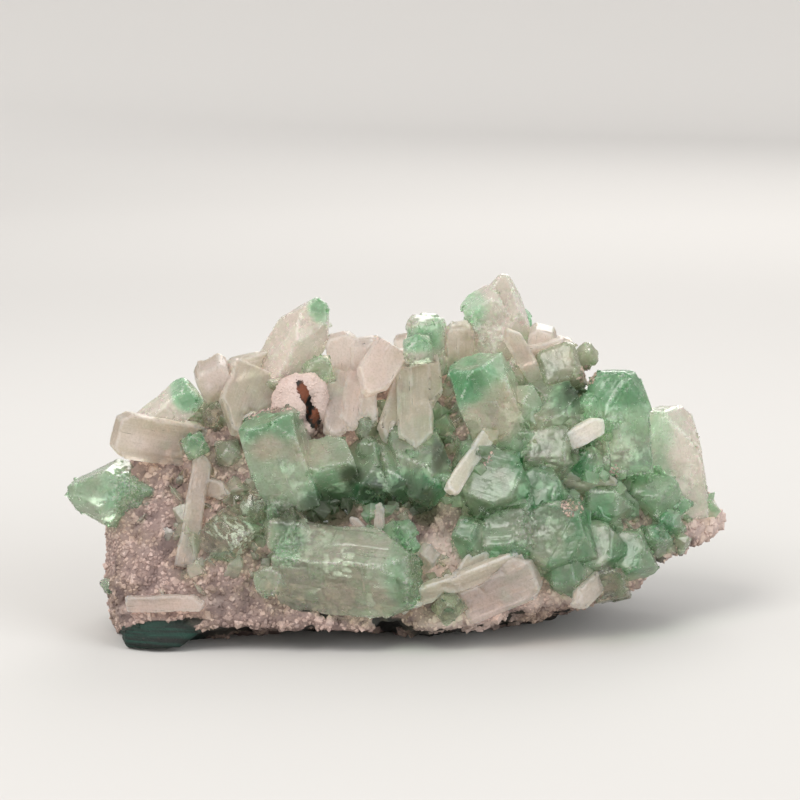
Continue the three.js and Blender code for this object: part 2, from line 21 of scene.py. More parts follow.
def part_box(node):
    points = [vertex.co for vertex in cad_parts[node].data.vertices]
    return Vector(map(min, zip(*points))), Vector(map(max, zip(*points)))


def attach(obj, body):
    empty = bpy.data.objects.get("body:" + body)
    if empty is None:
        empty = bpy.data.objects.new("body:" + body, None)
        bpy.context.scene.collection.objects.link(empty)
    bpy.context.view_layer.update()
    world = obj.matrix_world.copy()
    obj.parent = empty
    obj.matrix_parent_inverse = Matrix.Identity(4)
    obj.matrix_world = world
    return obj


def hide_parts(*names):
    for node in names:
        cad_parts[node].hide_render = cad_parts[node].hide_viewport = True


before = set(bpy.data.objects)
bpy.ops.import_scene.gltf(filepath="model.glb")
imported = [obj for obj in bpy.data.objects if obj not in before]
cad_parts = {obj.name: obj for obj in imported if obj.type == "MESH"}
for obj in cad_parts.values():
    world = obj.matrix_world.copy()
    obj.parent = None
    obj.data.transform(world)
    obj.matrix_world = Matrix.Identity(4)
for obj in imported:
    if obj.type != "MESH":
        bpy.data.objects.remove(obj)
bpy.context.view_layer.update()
MM = 0.001

# %% [markdown]
# ## The camera
#
# A specimen is shown from a little above and from far off through a long lens, so that its crystals don't lean
# apart. The camera stands 0.7 m away and looks down by 10 degrees at a point above the middle of the slab.
#
# Many things below are placed as a viewer would point at them: so many millimetres to the right of the middle, and
# so many up. `as_seen` gives these two numbers for points of the model, in the plane through the point that the
# camera looks at.

# %% Camera
LOOK_AT = Vector((-0.33, 1.0, 58.0)) * MM
CAMERA_DISTANCE = 700 * MM
LOOKING_DOWN = math.radians(10)
LENS = 126


def added(name, data):
    """A new object that holds that data, in the scene."""
    made = bpy.data.objects.new(name, data)
    bpy.context.scene.collection.objects.link(made)
    return made


backward = Vector((0, -math.cos(LOOKING_DOWN), math.sin(LOOKING_DOWN)))
upward = Vector((0, math.sin(LOOKING_DOWN), math.cos(LOOKING_DOWN)))
camera_place = LOOK_AT + backward * CAMERA_DISTANCE

camera_data = bpy.data.cameras.new("camera")
camera_data.lens = LENS
camera_data.clip_start = 10 * MM
camera = added("camera", camera_data)
camera.location = camera_place
camera.rotation_euler = (math.pi / 2 - LOOKING_DOWN, 0, 0)
bpy.context.scene.camera = camera


def as_seen(points):
    """How far right of the middle and how far up each point appears, in millimetres."""
    away = np.asarray(points) - np.array(camera_place)
    depth = away @ -np.array(backward)
    right = away[:, 0] / depth * CAMERA_DISTANCE
    up = away @ np.array(upward) / depth * CAMERA_DISTANCE
    return np.column_stack([right, up]) / MM + [0, LOOK_AT.z / MM]


print("camera at", [round(v, 3) for v in camera_place])

# %% [markdown]
# ## The studio
#
# Glassy crystals show what is around them, so the room matters as much as the lamps. Here it is a pale bowl: a flat
# floor that turns up into a round wall, with no edge for a facet to catch. A large soft lamp stands at the upper
# left, a weaker one at the right, and one behind the specimen shines through the crystals and makes them glow.

# %% Studio
FLOOR_RADIUS = 1.5
WALL_RADIUS = 0.9
WALL_STEPS = 24
RIM_STEPS = 96

profile = [(0.0, 0.0), (FLOOR_RADIUS, 0.0)]
for step in range(1, WALL_STEPS + 1):
    turn = math.pi / 2 * step / WALL_STEPS
    profile.append((FLOOR_RADIUS + WALL_RADIUS * math.sin(turn), WALL_RADIUS * (1 - math.cos(turn))))

bowl_mesh = bpy.data.meshes.new("studio")
bowl = bmesh.new()
line = [bowl.verts.new((radius, 0, height)) for radius, height in profile]
edges = [bowl.edges.new(pair) for pair in zip(line, line[1:])]
bmesh.ops.spin(bowl, geom=line + edges, cent=(0, 0, 0), axis=(0, 0, 1), angle=math.tau, steps=RIM_STEPS)
bmesh.ops.remove_doubles(bowl, verts=bowl.verts, dist=0.1 * MM)
bmesh.ops.recalc_face_normals(bowl, faces=bowl.faces)
for face in bowl.faces:
    face.smooth = True
bowl.to_mesh(bowl_mesh)
bowl.free()
added("studio", bowl_mesh)


def add_lamp(name, place, size, watts, colour):
    """A square area lamp that faces the specimen."""
    data = bpy.data.lights.new(name, "AREA")
    data.size = size
    data.energy = watts
    data.color = colour
    lamp = added(name, data)
    lamp.location = place
    lamp.rotation_euler = (Vector(place) - LOOK_AT).to_track_quat("Z", "Y").to_euler()


add_lamp("key", (-0.7, -0.9, 1.15), size=0.8, watts=13.5, colour=(1.0, 0.97, 0.94))
add_lamp("fill", (1.0, -0.8, 0.6), size=0.9, watts=6, colour=(0.94, 0.97, 1.0))
add_lamp("back", (0.25, 0.95, 0.75), size=0.7, watts=9, colour=(1.0, 0.98, 0.95))

ROOM_COLOUR = (1.0, 0.985, 0.97)
ROOM_STRENGTH = 0.78
world = bpy.data.worlds.new("room")
world.use_nodes = True
room_light = world.node_tree.nodes["Background"].inputs
room_light["Color"].default_value = (*ROOM_COLOUR, 1)
room_light["Strength"].default_value = ROOM_STRENGTH
bpy.context.scene.world = world
bpy.context.scene.view_settings.view_transform = "Standard"
print("studio faces:", len(bowl_mesh.polygons))

# %% [markdown]
# ## Writing materials as sums
#
# A material is a net of small nodes. Written one by one they hide what they do, so two small helpers let the net be
# written as sums. `Value` wraps a socket, and `a * b + 1` on values adds Math nodes. `Recipe` adds every other node:
# it takes the node's type, its settings, and the values or links of its sockets. Its `painted` lays colours over
# each other, and its `finish` joins the shader to the output.

# %% Sums of sockets
def maths(operation, turned=False):
    """An operator of Value that adds a Math node, with its two values turned round where Python needs that."""
    def operator(self, other):
        values = (other, self) if turned else (self, other)
        return self.recipe.node("ShaderNodeMath", dict(enumerate(values)), operation=operation)["Value"]
    return operator


class Value:
    """An output of a node, which can be used in a sum."""

    def __init__(self, recipe, socket):
        self.recipe = recipe
        self.socket = socket

    __add__ = __radd__ = maths("ADD")
    __mul__ = __rmul__ = maths("MULTIPLY")
    __sub__, __rsub__ = maths("SUBTRACT"), maths("SUBTRACT", turned=True)
    __truediv__, __rtruediv__ = maths("DIVIDE"), maths("DIVIDE", turned=True)

    def kept(self):
        """The value kept between 0 and 1."""
        return self.recipe.node("ShaderNodeClamp", {"Value": self})["Result"]


class Node:
    """A node, whose outputs are looked up by name."""

    def __init__(self, recipe, node):
        self.recipe = recipe
        self.node = node

    def __getitem__(self, name):
        return Value(self.recipe, find_socket(self.node.outputs, name))


def find_socket(sockets, name):
    """The socket in that place, or the one in use with that name, or with that identifier."""
    if isinstance(name, int):
        return sockets[name]
    named = [s for s in sockets if s.name == name and s.enabled]
    return (named or [s for s in sockets if s.identifier == name])[0]


# %% Recipes
class Recipe:
    """A node tree that is written as sums."""

    def __init__(self, tree):
        self.tree = tree
        self.tree.nodes.clear()

    def node(self, kind, sockets=None, **settings):
        """Adds a node. The settings come first, and then the values or links of its sockets."""
        node = self.tree.nodes.new(kind)
        for name, value in settings.items():
            setattr(node, name, value)
        for name, value in (sockets or {}).items():
            socket = find_socket(node.inputs, name)
            if isinstance(value, Value):
                self.tree.links.new(value.socket, socket)
            elif isinstance(value, (tuple, list)) and socket.type == "RGBA":
                socket.default_value = (*value[:3], 1)
            else:
                socket.default_value = value
        return Node(self, node)

    def noise(self, place, scale, detail=3.0, roughness=0.55, distortion=0.0):
        """Noise from 0 to 1. The scale is how many lumps there are in a metre."""
        sockets = {"Vector": place, "Scale": scale, "Detail": detail, "Roughness": roughness}
        return self.node("ShaderNodeTexNoise", sockets | {"Distortion": distortion})["Fac"]

    def painted(self, colour, *layers):
        """A colour under layers of other colours. A layer is (how much of it covers, its colour)."""
        for share, paint in layers:
            sockets = {"Factor_Float": share, "A_Color": colour, "B_Color": paint}
            colour = self.node("ShaderNodeMix", sockets, data_type="RGBA")["Result_Color"]
        return colour

    def between(self, value, low, high):
        """0 below low, 1 above high, and a smooth step between them."""
        sockets = {"Value": value, "From Min": low, "From Max": high}
        return self.node("ShaderNodeMapRange", sockets, interpolation_type="SMOOTHSTEP")["Result"]

    def stretched(self, place, scale, turn=(0, 0, 0)):
        """The place turned, with each of its directions scaled."""
        sockets = {"Vector": place, "Scale": scale, "Rotation": turn}
        return self.node("ShaderNodeMapping", sockets, vector_type="POINT")["Vector"]

    def attribute(self, name, output="Fac"):
        return self.node("ShaderNodeAttribute", attribute_name=name)[output]

    def bumpy(self, height, strength, depth):
        """Normals of a surface with bumps that deep, in millimetres."""
        sockets = {"Height": height, "Strength": strength, "Distance": depth * MM}
        return self.node("ShaderNodeBump", sockets)["Normal"]

    def finish(self, colour, roughness, others, tint=None, inside=None):
        """Joins a Principled shader to the output. A tint lets the light of the lamps through to what is inside and
        behind the surface."""
        sockets = {"Base Color": colour, "Roughness": roughness}
        shader = self.node("ShaderNodeBsdfPrincipled", sockets | others)["BSDF"]
        if tint:
            open_side = self.node("ShaderNodeBsdfTransparent", {"Color": tint})["BSDF"]
            shadow = self.node("ShaderNodeLightPath")["Is Shadow Ray"]
            shader = self.node("ShaderNodeMixShader", {0: shadow, 1: shader, 2: open_side})["Shader"]
        self.node("ShaderNodeOutputMaterial", {"Surface": shader} | ({"Volume": inside} if inside else {}))


# %% New materials, and what crystals share
def crystal_body(clearness, bending, glow, normal):
    """The sockets of a crystal: how much light goes straight through, its refraction, and how far the rest of the
    light spreads inside, in millimetres for red, green and blue."""
    return {"Transmission Weight": clearness, "IOR": bending, "Subsurface Weight": 1.0, "Subsurface Radius": glow,
            "Subsurface Scale": 1 * MM, "Normal": normal}


def new_material(name):
    """A material, the recipe of its empty tree, and the place of a point on the object."""
    material = bpy.data.materials.new(name)
    material.use_nodes = True
    recipe = Recipe(material.node_tree)
    return material, recipe, recipe.node("ShaderNodeTexCoord")["Object"]


# %% The studio's finish
NEAR_FLOOR = (0.60, 0.59, 0.575)
FAR_FLOOR = (0.50, 0.49, 0.478)
WALL = (0.80, 0.785, 0.765)

material, r, place = new_material("studio")
far = r.node("ShaderNodeVectorMath", {0: place}, operation="LENGTH")["Value"]
floor_colour = r.painted(NEAR_FLOOR, (r.between(far, 0.2, 0.7), FAR_FLOOR), (r.between(far, 1.0, 1.8), WALL))
shader = r.node("ShaderNodeBsdfDiffuse", {"Color": floor_colour, "Roughness": 0.5})
r.node("ShaderNodeOutputMaterial", {"Surface": shader["BSDF"]})
bowl_mesh.materials.append(material)
print("materials so far:", [m.name for m in bpy.data.materials])

# %% [markdown]
# ## The slab
#
# The CAD slab has a few hundred broad triangles. A real slab is rough at every size, so a copy of it is remeshed
# into small even squares, and its skin is moved in and out. The crust stands proud of the bare basalt, which also
# buries the cut roots of the crystals, and it covers the face and the top but not the underside and the back. Pits,
# the hollow between the crystals and the slot of the knob are sunk, and noise at several sizes does the rest. Each
# of these is kept on the mesh as an attribute, so that the material and the grains that are scattered later follow
# the same edges.

# %% Slab: a fine copy
VOXEL = 0.8 * MM
SAME_POINT = 0.001 * MM


def merged(node):
    """A copy of a CAD node in which the triangles share their corners."""
    bm = bmesh.new()
    bm.from_mesh(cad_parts[node].data)
    bmesh.ops.remove_doubles(bm, verts=bm.verts, dist=SAME_POINT)
    return bm


def as_mesh(name, bm):
    mesh = bpy.data.meshes.new(name)
    bm.to_mesh(mesh)
    bm.free()
    return mesh


def settled(piece):
    """The mesh of an object with its modifiers applied. The object itself is removed."""
    bpy.context.view_layer.update()
    graph = bpy.context.evaluated_depsgraph_get()
    mesh = bpy.data.meshes.new_from_object(piece.evaluated_get(graph))
    name = piece.name
    bpy.data.objects.remove(piece)
    mesh.name = name
    return mesh


# %% Slab: its points as arrays
def vectors(items, key):
    """One vector for each item of a mesh, as the rows of an array."""
    found = np.empty(len(items) * 3)
    items.foreach_get(key, found)
    return found.reshape(-1, 3)


def coordinates(mesh):
    return vectors(mesh.vertices, "co")


def normals(mesh):
    return vectors(mesh.vertex_normals, "vector")


def move(mesh, points):
    mesh.vertices.foreach_set("co", np.asarray(points).ravel())
    mesh.update()


def remember(mesh, **attributes):
    """Keeps values as attributes of a mesh: a number for each point, or a vector for each corner. One number may
    stand for all points."""
    for name, values in attributes.items():
        values = np.asarray(values, np.float32)
        if values.ndim == 2:
            mesh.attributes.new(name, "FLOAT_VECTOR", "CORNER").data.foreach_set("vector", values.ravel())
        else:
            values = np.full(len(mesh.vertices), values, np.float32)
            mesh.attributes.new(name, "FLOAT", "POINT").data.foreach_set("value", values)


# %% Slab: remeshed
def remeshed(name, bm, size):
    """A closed mesh of even squares of that size that follows a rough shape."""
    rough = added(name, as_mesh(name + "_rough", bm))
    squares = rough.modifiers.new("squares", "REMESH")
    squares.mode = "VOXEL"
    squares.voxel_size = size
    return settled(rough)


slab_mesh = remeshed("slab", merged("matrix"), VOXEL)
print("slab:", len(slab_mesh.vertices), "points")

# %% Slab: noise, and spots as seen from the front
def lumps(points, size, seed):
    """Smooth noise from -1 to 1, with lumps of that size in metres."""
    shift = Vector((seed * 7.31, seed * 3.17, seed * 5.59))
    return np.array([noise.noise(Vector(p) / size + shift) for p in points])


def smooth_step(low, high, value):
    share = np.clip((value - low) / (high - low), 0, 1)
    return share * share * (3 - 2 * share)


def near(seen, spots):
    """How far each point lies within the nearest of some round spots, from 0 outside to 1 in the middle.
    A spot is (right, up, half width, half height, turn in degrees), as seen from the front."""
    most = np.zeros(len(seen))
    for right, up, half_width, half_height, turn in spots:
        angle = math.radians(turn)
        x, y = seen[:, 0] - right, seen[:, 1] - up
        across = (x * math.cos(angle) + y * math.sin(angle)) / half_width
        along = (y * math.cos(angle) - x * math.sin(angle)) / half_height
        most = np.maximum(most, 1 - np.hypot(across, along))
    return most


def covered(seen, spots, full, uneven=0.0):
    """How much the spots cover each point: 0 outside them, and 1 where near is above full. Noise makes the edge
    uneven."""
    return smooth_step(0, full, near(seen, spots) + uneven)


# %% Slab: places on it
BARE_CORNER = [(-60, -2.5, 13, 6.5, 4)]
PITS = [(-24.5, 6.6, 4.2, 1.5, -12), (-18.5, 4.6, 2.4, 1.2, 0), (-3, 2.4, 5.0, 1.8, -8), (60, 16.8, 2.6, 1.8, 20),
        (64, 17.2, 1.6, 1.4, 0), (79, 24, 2.6, 1.6, 35), (-53, 2.6, 5, 1.0, 6)]
HOLLOW = [(-18, 31, 10, 7, 0), (-3, 35, 13, 5, 0), (6, 32, 5, 7, 0)]
# Places of painted shade: the gaps where crystals crowd, on the crystals and on the small crystals among them.
SHADED_PLACES = HOLLOW + [(-12, 39, 4, 4, 0), (-28, 29, 5, 4, 0), (43.5, 60, 4, 4.5, 0), (10, 44, 3, 6, 0)]
KNOB = [(-25.5, 57.2, 9, 9.5, 0)]
PALE_CRUST = [(77, 29, 9, 6, 30), (60, 17, 12, 2.5, 25), (40, 9, 16, 2.5, 12), (18, 3, 16, 2.5, 5), (10, 18, 7, 8, 0),
              (-58, 6.5, 17, 2, 4)]
KNOB_SLOT = [(-23.8, 59.0, 1.5, 5.0, 24), (-22.0, 54.2, 2.0, 4.6, 18)]
CRUST_HEIGHT = 0.75 * MM
ROCK_HEIGHT = 0.35 * MM
print("pits:", len(PITS), " dark places:", len(SHADED_PLACES), " pale places:", len(PALE_CRUST))

# %% Slab: where the crust is
points = coordinates(slab_mesh)
outward = normals(slab_mesh)
seen = as_seen(points)
in_front = outward[:, 1] < 0.2
ragged = 0.35 * lumps(points, 7 * MM, 1) + 0.2 * lumps(points, 2.5 * MM, 2)
facing = -1.0 * outward[:, 1] + 0.45 * outward[:, 2] + 0.3 * abs(outward[:, 0]) + ragged
crust = smooth_step(0.02, 0.22, facing)
bare = 3 * near(seen, BARE_CORNER + PITS) * in_front
crust *= 1 - smooth_step(0.25, 0.6, bare + 0.8 * ragged * (bare > 0))
in_pits = near(seen, PITS)
pit = smooth_step(0, 0.6, in_pits + 0.5 * ragged) * in_front * (in_pits > 0)
# The hollow is sunk, and its crust is also darkened with painted shade.
hollow = covered(seen, HOLLOW, 0.4, 0.3 * ragged) * in_front
slot = covered(seen, KNOB_SLOT, 0.25, 0.35 * ragged) * in_front
knob = covered(seen, KNOB, 0.3) * in_front
teal = covered(seen, BARE_CORNER, 0.3) * in_front
pale = np.maximum(knob, 0.8 * covered(seen, PALE_CRUST, 0.6, 0.3 * ragged) * in_front)
print(f"crust covers {crust.mean():.0%} of the slab")

# %% Slab: the relief
relief = 1.2 * lumps(points, 5 * MM, 3) + 0.8 * lumps(points, 2.4 * MM, 4) + 0.2 * lumps(points, 1.2 * MM, 5)
relief *= (1 - 0.45 * knob) * (1 - 0.85 * teal)
relief += 0.9 * lumps(points, 14 * MM, 6) * (outward[:, 1] > 0.2)
# Painted shade: the low places of the relief are greyed in the material.
dip = smooth_step(0.05, 0.7, -relief)
height = ROCK_HEIGHT + CRUST_HEIGHT * crust + (relief - 1.2 * pit - 0.8 * slot - 1.6 * hollow) * MM
moved = points + outward * height[:, None]
moved[:, 2] = np.maximum(moved[:, 2], 0)
standing = points[:, 2] < 0.05 * MM
moved[standing] = points[standing]
moved[standing, 2] = 0
move(slab_mesh, moved)
remember(slab_mesh, crust=crust, hollow=hollow, rust=near(seen, KNOB_SLOT) * in_front, pale=pale, dip=dip, teal=teal,
         grains=crust * (moved[:, 2] > 1 * MM) * (slot + knob < 0.3), fine_grains=knob * (slot < 0.3))
print(f"the skin lies {height.min() / MM:.1f} to {height.max() / MM:.1f} mm outside the CAD slab")

# %% [markdown]
# ## The finish of the crust and the rock
#
# The crust is dull and pinkish beige, whiter on the knob and along the broken rim, and greyer in the dips, where
# the grey is painted shade. Painted shade also greys the slab between its grains and darkens the crust in the
# hollow between the crystals nearly to black. Where it ends, the basalt is dark grey and weathered in places, and
# some of its gas bubbles are filled with tan grains. The bare corner low in front is the streaky blue-green of
# celadonite, and the slot in the knob is stained with rust.
# One material holds them all and chooses by the attributes that the mesh keeps.

# %% Colours of crust and rock
CRUST_PINK = (0.56, 0.405, 0.36)
CRUST_TAN = (0.46, 0.345, 0.265)
CRUST_GREY = (0.15, 0.105, 0.10)
CRUST_WHITE = (0.76, 0.62, 0.57)
BASALT = (0.012, 0.016, 0.014)
CELADONITE = (0.012, 0.052, 0.038)
BROKEN_BASALT = (0.034, 0.034, 0.032)
WEATHERED = (0.075, 0.066, 0.052)
RUST = (0.16, 0.045, 0.018)
SHADE = (0.065, 0.058, 0.032)
print("crust:", CRUST_PINK, CRUST_TAN, " rock:", BASALT)


# %% The recipe of crust and rock
def rock_material():
    material, r, place = new_material("crust_and_basalt")
    broad = r.noise(place, 90)
    medium = r.noise(place, 420, detail=5)
    fine = r.noise(place, 1500, detail=4)
    tint = r.attribute("tint")
    crust_colour = r.painted(
        CRUST_PINK,
        (r.between(broad, 0.35, 0.65), CRUST_TAN),
        (r.between(medium, 0.5, 0.75), CRUST_GREY),
        (r.between(medium, 0.5, 0.25) * 0.6, CRUST_WHITE),
        (r.between(tint, 0.4, 1.0) * 0.16, CRUST_WHITE),
        (r.between(fine, 0.5, 0.35) * 0.35, CRUST_GREY),
        # Painted shadow under the grains: the slab itself has no tint, so its surface is greyed; grains of low tint
        # are greyer at random.
        (r.between(tint, 0.5, 0.0) * 0.6, CRUST_GREY),
        # Painted shade in the dips of the relief.
        (r.attribute("dip") * 0.8, CRUST_GREY),
        (r.attribute("pale") * 0.7, CRUST_WHITE),
        # Painted shade: the crust in the hollow between the crystals turns nearly black.
        (r.attribute("hollow") * 0.95, SHADE),
    )
    lined = r.noise(r.stretched(place, (60, 60, 900)), 1.0, detail=3)
    vesicle = r.node("ShaderNodeTexVoronoi", {"Vector": place, "Scale": 260.0}, feature="F1")["Distance"]
    rock_colour = r.painted(
        BROKEN_BASALT,
        (r.between(broad + 0.4 * medium, 0.6, 0.85), WEATHERED),
        (r.between(vesicle, 0.16, 0.08) * r.between(broad, 0.45, 0.55), CRUST_TAN),
        (r.attribute("teal"), r.painted(BASALT, (r.between(lined, 0.35, 0.6), CELADONITE))),
        (r.between(fine, 0.62, 0.8) * 0.5, CRUST_GREY),
    )
    rusty = r.painted(RUST, (r.between(medium, 0.45, 0.6), BASALT))
    colour = r.painted(
        rock_colour,
        (r.between(r.attribute("crust"), 0.35, 0.6), crust_colour),
        (r.between(r.attribute("rust") + 0.5 * (fine - 0.5), 0.15, 0.25), rusty),
    )
    r.finish(colour, 0.62 + 0.25 * fine, {"Normal": r.bumpy(medium + fine * 0.5, 0.8, 0.5)})
    return material


# %% The slab in its finish
def show(name, mesh, material, stands_for=()):
    """Adds a finished mesh to the specimen."""
    mesh.materials.clear()
    mesh.materials.append(material)
    piece = added(name, mesh)
    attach(piece, "root")
    if stands_for:
        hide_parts(*stands_for)
    print(name, sum(len(p.vertices) - 2 for p in mesh.polygons), "triangles")


slab_mesh.shade_smooth()
ROCK = rock_material()
show("slab", slab_mesh, ROCK, ["matrix"])

# %% [markdown]
# ## The crust: grains
#
# The sugary look of the crust comes from thousands of separate grains, so a bump in the material isn't enough: the
# outline has to sparkle too. Geometry Nodes scatters them. Six small irregular stones are made once, with a dozen
# or two faces each. The tree picks places on the slab at even distances, only where an attribute allows it, puts a
# stone in each, turned and sized at random, and gives each its own tint. Fewer and larger lumps of the same stones
# keep the crust from looking combed, and the knob has finer ones. The same tree scatters the smallest apophyllite
# crystals later, with other stones and another attribute.

# %% Scattering: the tree's inputs
INPUTS = {"Geometry": "Geometry", "Where": "String", "Spacing": "Float", "Size": "Float", "Variety": "Float",
          "Sink": "Float", "Left": "Float", "Right": "Float", "Seed": "Int", "Stones": "Collection",
          "Finish": "Material"}

SCATTER = bpy.data.node_groups.new("scatter", "GeometryNodeTree")
for name, kind in INPUTS.items():
    SCATTER.interface.new_socket(name=name, in_out="INPUT", socket_type="NodeSocket" + kind)
SCATTER.interface.new_socket(name="Geometry", in_out="OUTPUT", socket_type="NodeSocketGeometry")
r = Recipe(SCATTER)
given = r.node("NodeGroupInput")
print("inputs:", ", ".join(INPUTS))

# %% Scattering: places
x = r.node("ShaderNodeSeparateXYZ", {"Vector": r.node("GeometryNodeInputPosition")["Position"]})["X"]
past_left = r.node("FunctionNodeCompare", {"A": x, "B": given["Left"]}, operation="GREATER_EQUAL")["Result"]
before_right = r.node("FunctionNodeCompare", {"A": x, "B": given["Right"]}, operation="LESS_THAN")["Result"]
allowed = r.node("GeometryNodeInputNamedAttribute", {"Name": given["Where"]}, data_type="FLOAT")["Attribute"]
places = r.node("GeometryNodeDistributePointsOnFaces", {
    "Mesh": given["Geometry"],
    "Distance Min": given["Spacing"],
    "Density Max": 3.0 / (given["Spacing"] * given["Spacing"]),
    "Density Factor": past_left * before_right * allowed,
    "Seed": given["Seed"],
}, distribute_method="POISSON")
sunk = r.node("ShaderNodeVectorMath", {0: places["Normal"], "Scale": 0.0 - given["Sink"]}, operation="SCALE")
lowered = r.node("GeometryNodeSetPosition", {"Geometry": places["Points"], "Offset": sunk["Vector"]})
print("nodes so far:", len(SCATTER.nodes))


# %% Scattering: stones
def random_value(number, kind="FLOAT", **limits):
    """A random value for each stone. The number keeps it apart from the others."""
    sockets = limits | {"Seed": given["Seed"] + number}
    return r.node("FunctionNodeRandomValue", sockets, data_type=kind)["Value"]


tilt = random_value(1, "FLOAT_VECTOR", Min=(-0.9, -0.9, 0.0), Max=(0.9, 0.9, 6.28))
sockets = {"Rotation": places["Rotation"], "Rotate By": tilt}
turned = r.node("FunctionNodeRotateRotation", sockets, rotation_space="LOCAL")["Rotation"]
sockets = {"Collection": given["Stones"], "Separate Children": True, "Reset Children": True}
placed = r.node("GeometryNodeInstanceOnPoints", {
    "Points": lowered["Geometry"],
    "Instance": r.node("GeometryNodeCollectionInfo", sockets)["Instances"],
    "Pick Instance": True,
    "Rotation": turned,
    "Scale": given["Size"] * random_value(2, Min=1.0 - given["Variety"], Max=1.0 + given["Variety"]),
})["Instances"]
sockets = {"Geometry": placed, "Name": "tint", "Value": random_value(3)}
tinted = r.node("GeometryNodeStoreNamedAttribute", sockets, data_type="FLOAT", domain="INSTANCE")["Geometry"]
real = r.node("GeometryNodeRealizeInstances", {"Geometry": tinted})["Geometry"]
finished = r.node("GeometryNodeSetMaterial", {"Geometry": real, "Material": given["Finish"]})["Geometry"]
r.node("NodeGroupOutput", {"Geometry": finished})
print("nodes of the scattering:", len(SCATTER.nodes))

# %% Scattering: using it
SLAB_LEFT, SLAB_RIGHT = -82, 83
STONE_SHAPES = 6


def scatter(name, ground, stones, finish, where, spacing, size, sink, variety, seed, left=SLAB_LEFT,
            right=SLAB_RIGHT):
    """Shows stones on a ground mesh. Their spacing, size, depth in the ground and ends are in millimetres."""
    piece = added(name, ground)
    modifier = piece.modifiers.new("scatter", "NODES")
    modifier.node_group = SCATTER
    inputs = {"Where": where, "Spacing": spacing * MM, "Size": size * MM, "Variety": variety, "Sink": sink * MM,
              "Left": left * MM, "Right": right * MM, "Seed": seed, "Stones": stones, "Finish": finish}
    for item in SCATTER.interface.items_tree:
        if item.name in inputs:
            modifier[item.identifier] = inputs[item.name]
    show(name, settled(piece), finish)


def stone_collection(name, maker, first_seed):
    """A collection, which isn't shown, of the stones that a scattering picks from."""
    collection = bpy.data.collections.new(name)
    for number in range(STONE_SHAPES):
        mesh = as_mesh(f"{name}_{number}", maker(random.Random(first_seed + number)))
        collection.objects.link(bpy.data.objects.new(mesh.name, mesh))
    return collection


# %% Crust: six grains
GRAIN_CORNERS = 11
SLAB_BANDS = [(SLAB_LEFT, -45), (-45, -15), (-15, 15), (15, 45), (45, SLAB_RIGHT)]


def grain(draw):
    """A small stone: the hull of points scattered over a flattened ball, one millimetre across."""
    bm = bmesh.new()
    for number in range(GRAIN_CORNERS):
        up = 1 - 2 * (number + 0.5) / GRAIN_CORNERS
        turn = 2.4 * number + draw.uniform(-0.4, 0.4)
        out = math.sqrt(1 - up * up)
        size = draw.uniform(0.36, 0.62)
        bm.verts.new(Vector((out * math.cos(turn), 0.8 * out * math.sin(turn), 0.7 * up)) * size)
    bmesh.ops.convex_hull(bm, input=bm.verts)
    bmesh.ops.delete(bm, geom=[v for v in bm.verts if not v.link_faces], context="VERTS")
    bmesh.ops.recalc_face_normals(bm, faces=bm.faces)
    return bm


grains = stone_collection("grain", grain, 0)
for number, (left, right) in enumerate(SLAB_BANDS):
    scatter(f"grains_{number}", slab_mesh, grains, ROCK, "grains", spacing=0.9, size=1.4, sink=0.2,
            variety=0.5, seed=4, left=left, right=right)
scatter("lumps", slab_mesh, grains, ROCK, "grains", spacing=2.3, size=3.0, sink=0.7, variety=0.4, seed=9)
scatter("knob_grains", slab_mesh, grains, ROCK, "fine_grains", spacing=0.5, size=0.75, sink=0.1,
        variety=0.4, seed=9)

# %% [markdown]
# ## Crystals: growth steps
#
# A crystal from CAD is a solid with perfectly flat faces and knife edges. Real ones grow in layers, so their faces
# are stepped along their length. Each flat face is cut into strips along its longest edge, and some of the strips
# are raised a little. The result may pass through itself at a corner, which doesn't matter: the next step remeshes
# it into small even squares and then puts every point back on the nearest flat face, which keeps the faces flat.
#
# Every face keeps its own directions, along and across its strips, so that the material can draw striations that
# follow the crystal wherever it points.

# %% Crystals: edges and strips
FLAT = math.radians(1.5)
EDGE_ANGLE = math.radians(22)
EDGE_SPACING = 0.3 * MM


def face_directions(face):
    """The directions along a face's longest edge, and across it."""
    edge = max(face.edges, key=lambda e: e.calc_length())
    along = (edge.verts[1].co - edge.verts[0].co).normalized()
    return along, face.normal.cross(along).normalized()


def points_on_edges(bm):
    """Points at even distances along the outward edges, each with half the angle that its edge turns."""
    found = []
    for edge in bm.edges:
        if len(edge.link_faces) == 2 and edge.calc_face_angle_signed(0) > EDGE_ANGLE:
            steps = 1 + int(edge.calc_length() / EDGE_SPACING)
            first, last = (v.co for v in edge.verts)
            half = edge.calc_face_angle(0) / 2
            found += [(first.lerp(last, step / steps), half) for step in range(steps + 1)]
    return found


def cut_into_strips(bm, face, across, width, draw):
    """Cuts a face by lines at right angles to a direction, and returns its strips."""
    reach = [v.co.dot(across) for v in face.verts]
    strips = [face]
    cut = min(reach) + width * draw.uniform(0.3, 1.3)
    while cut < max(reach) - 0.3 * width:
        parts = set(strips)
        for strip in strips:
            parts.update(strip.edges, strip.verts)
        made = bmesh.ops.bisect_plane(bm, geom=list(parts), dist=SAME_POINT, plane_co=across * cut, plane_no=across)
        strips = [part for part in made["geom"] if isinstance(part, bmesh.types.BMFace)]
        cut += width * draw.uniform(0.5, 1.6)
    return strips


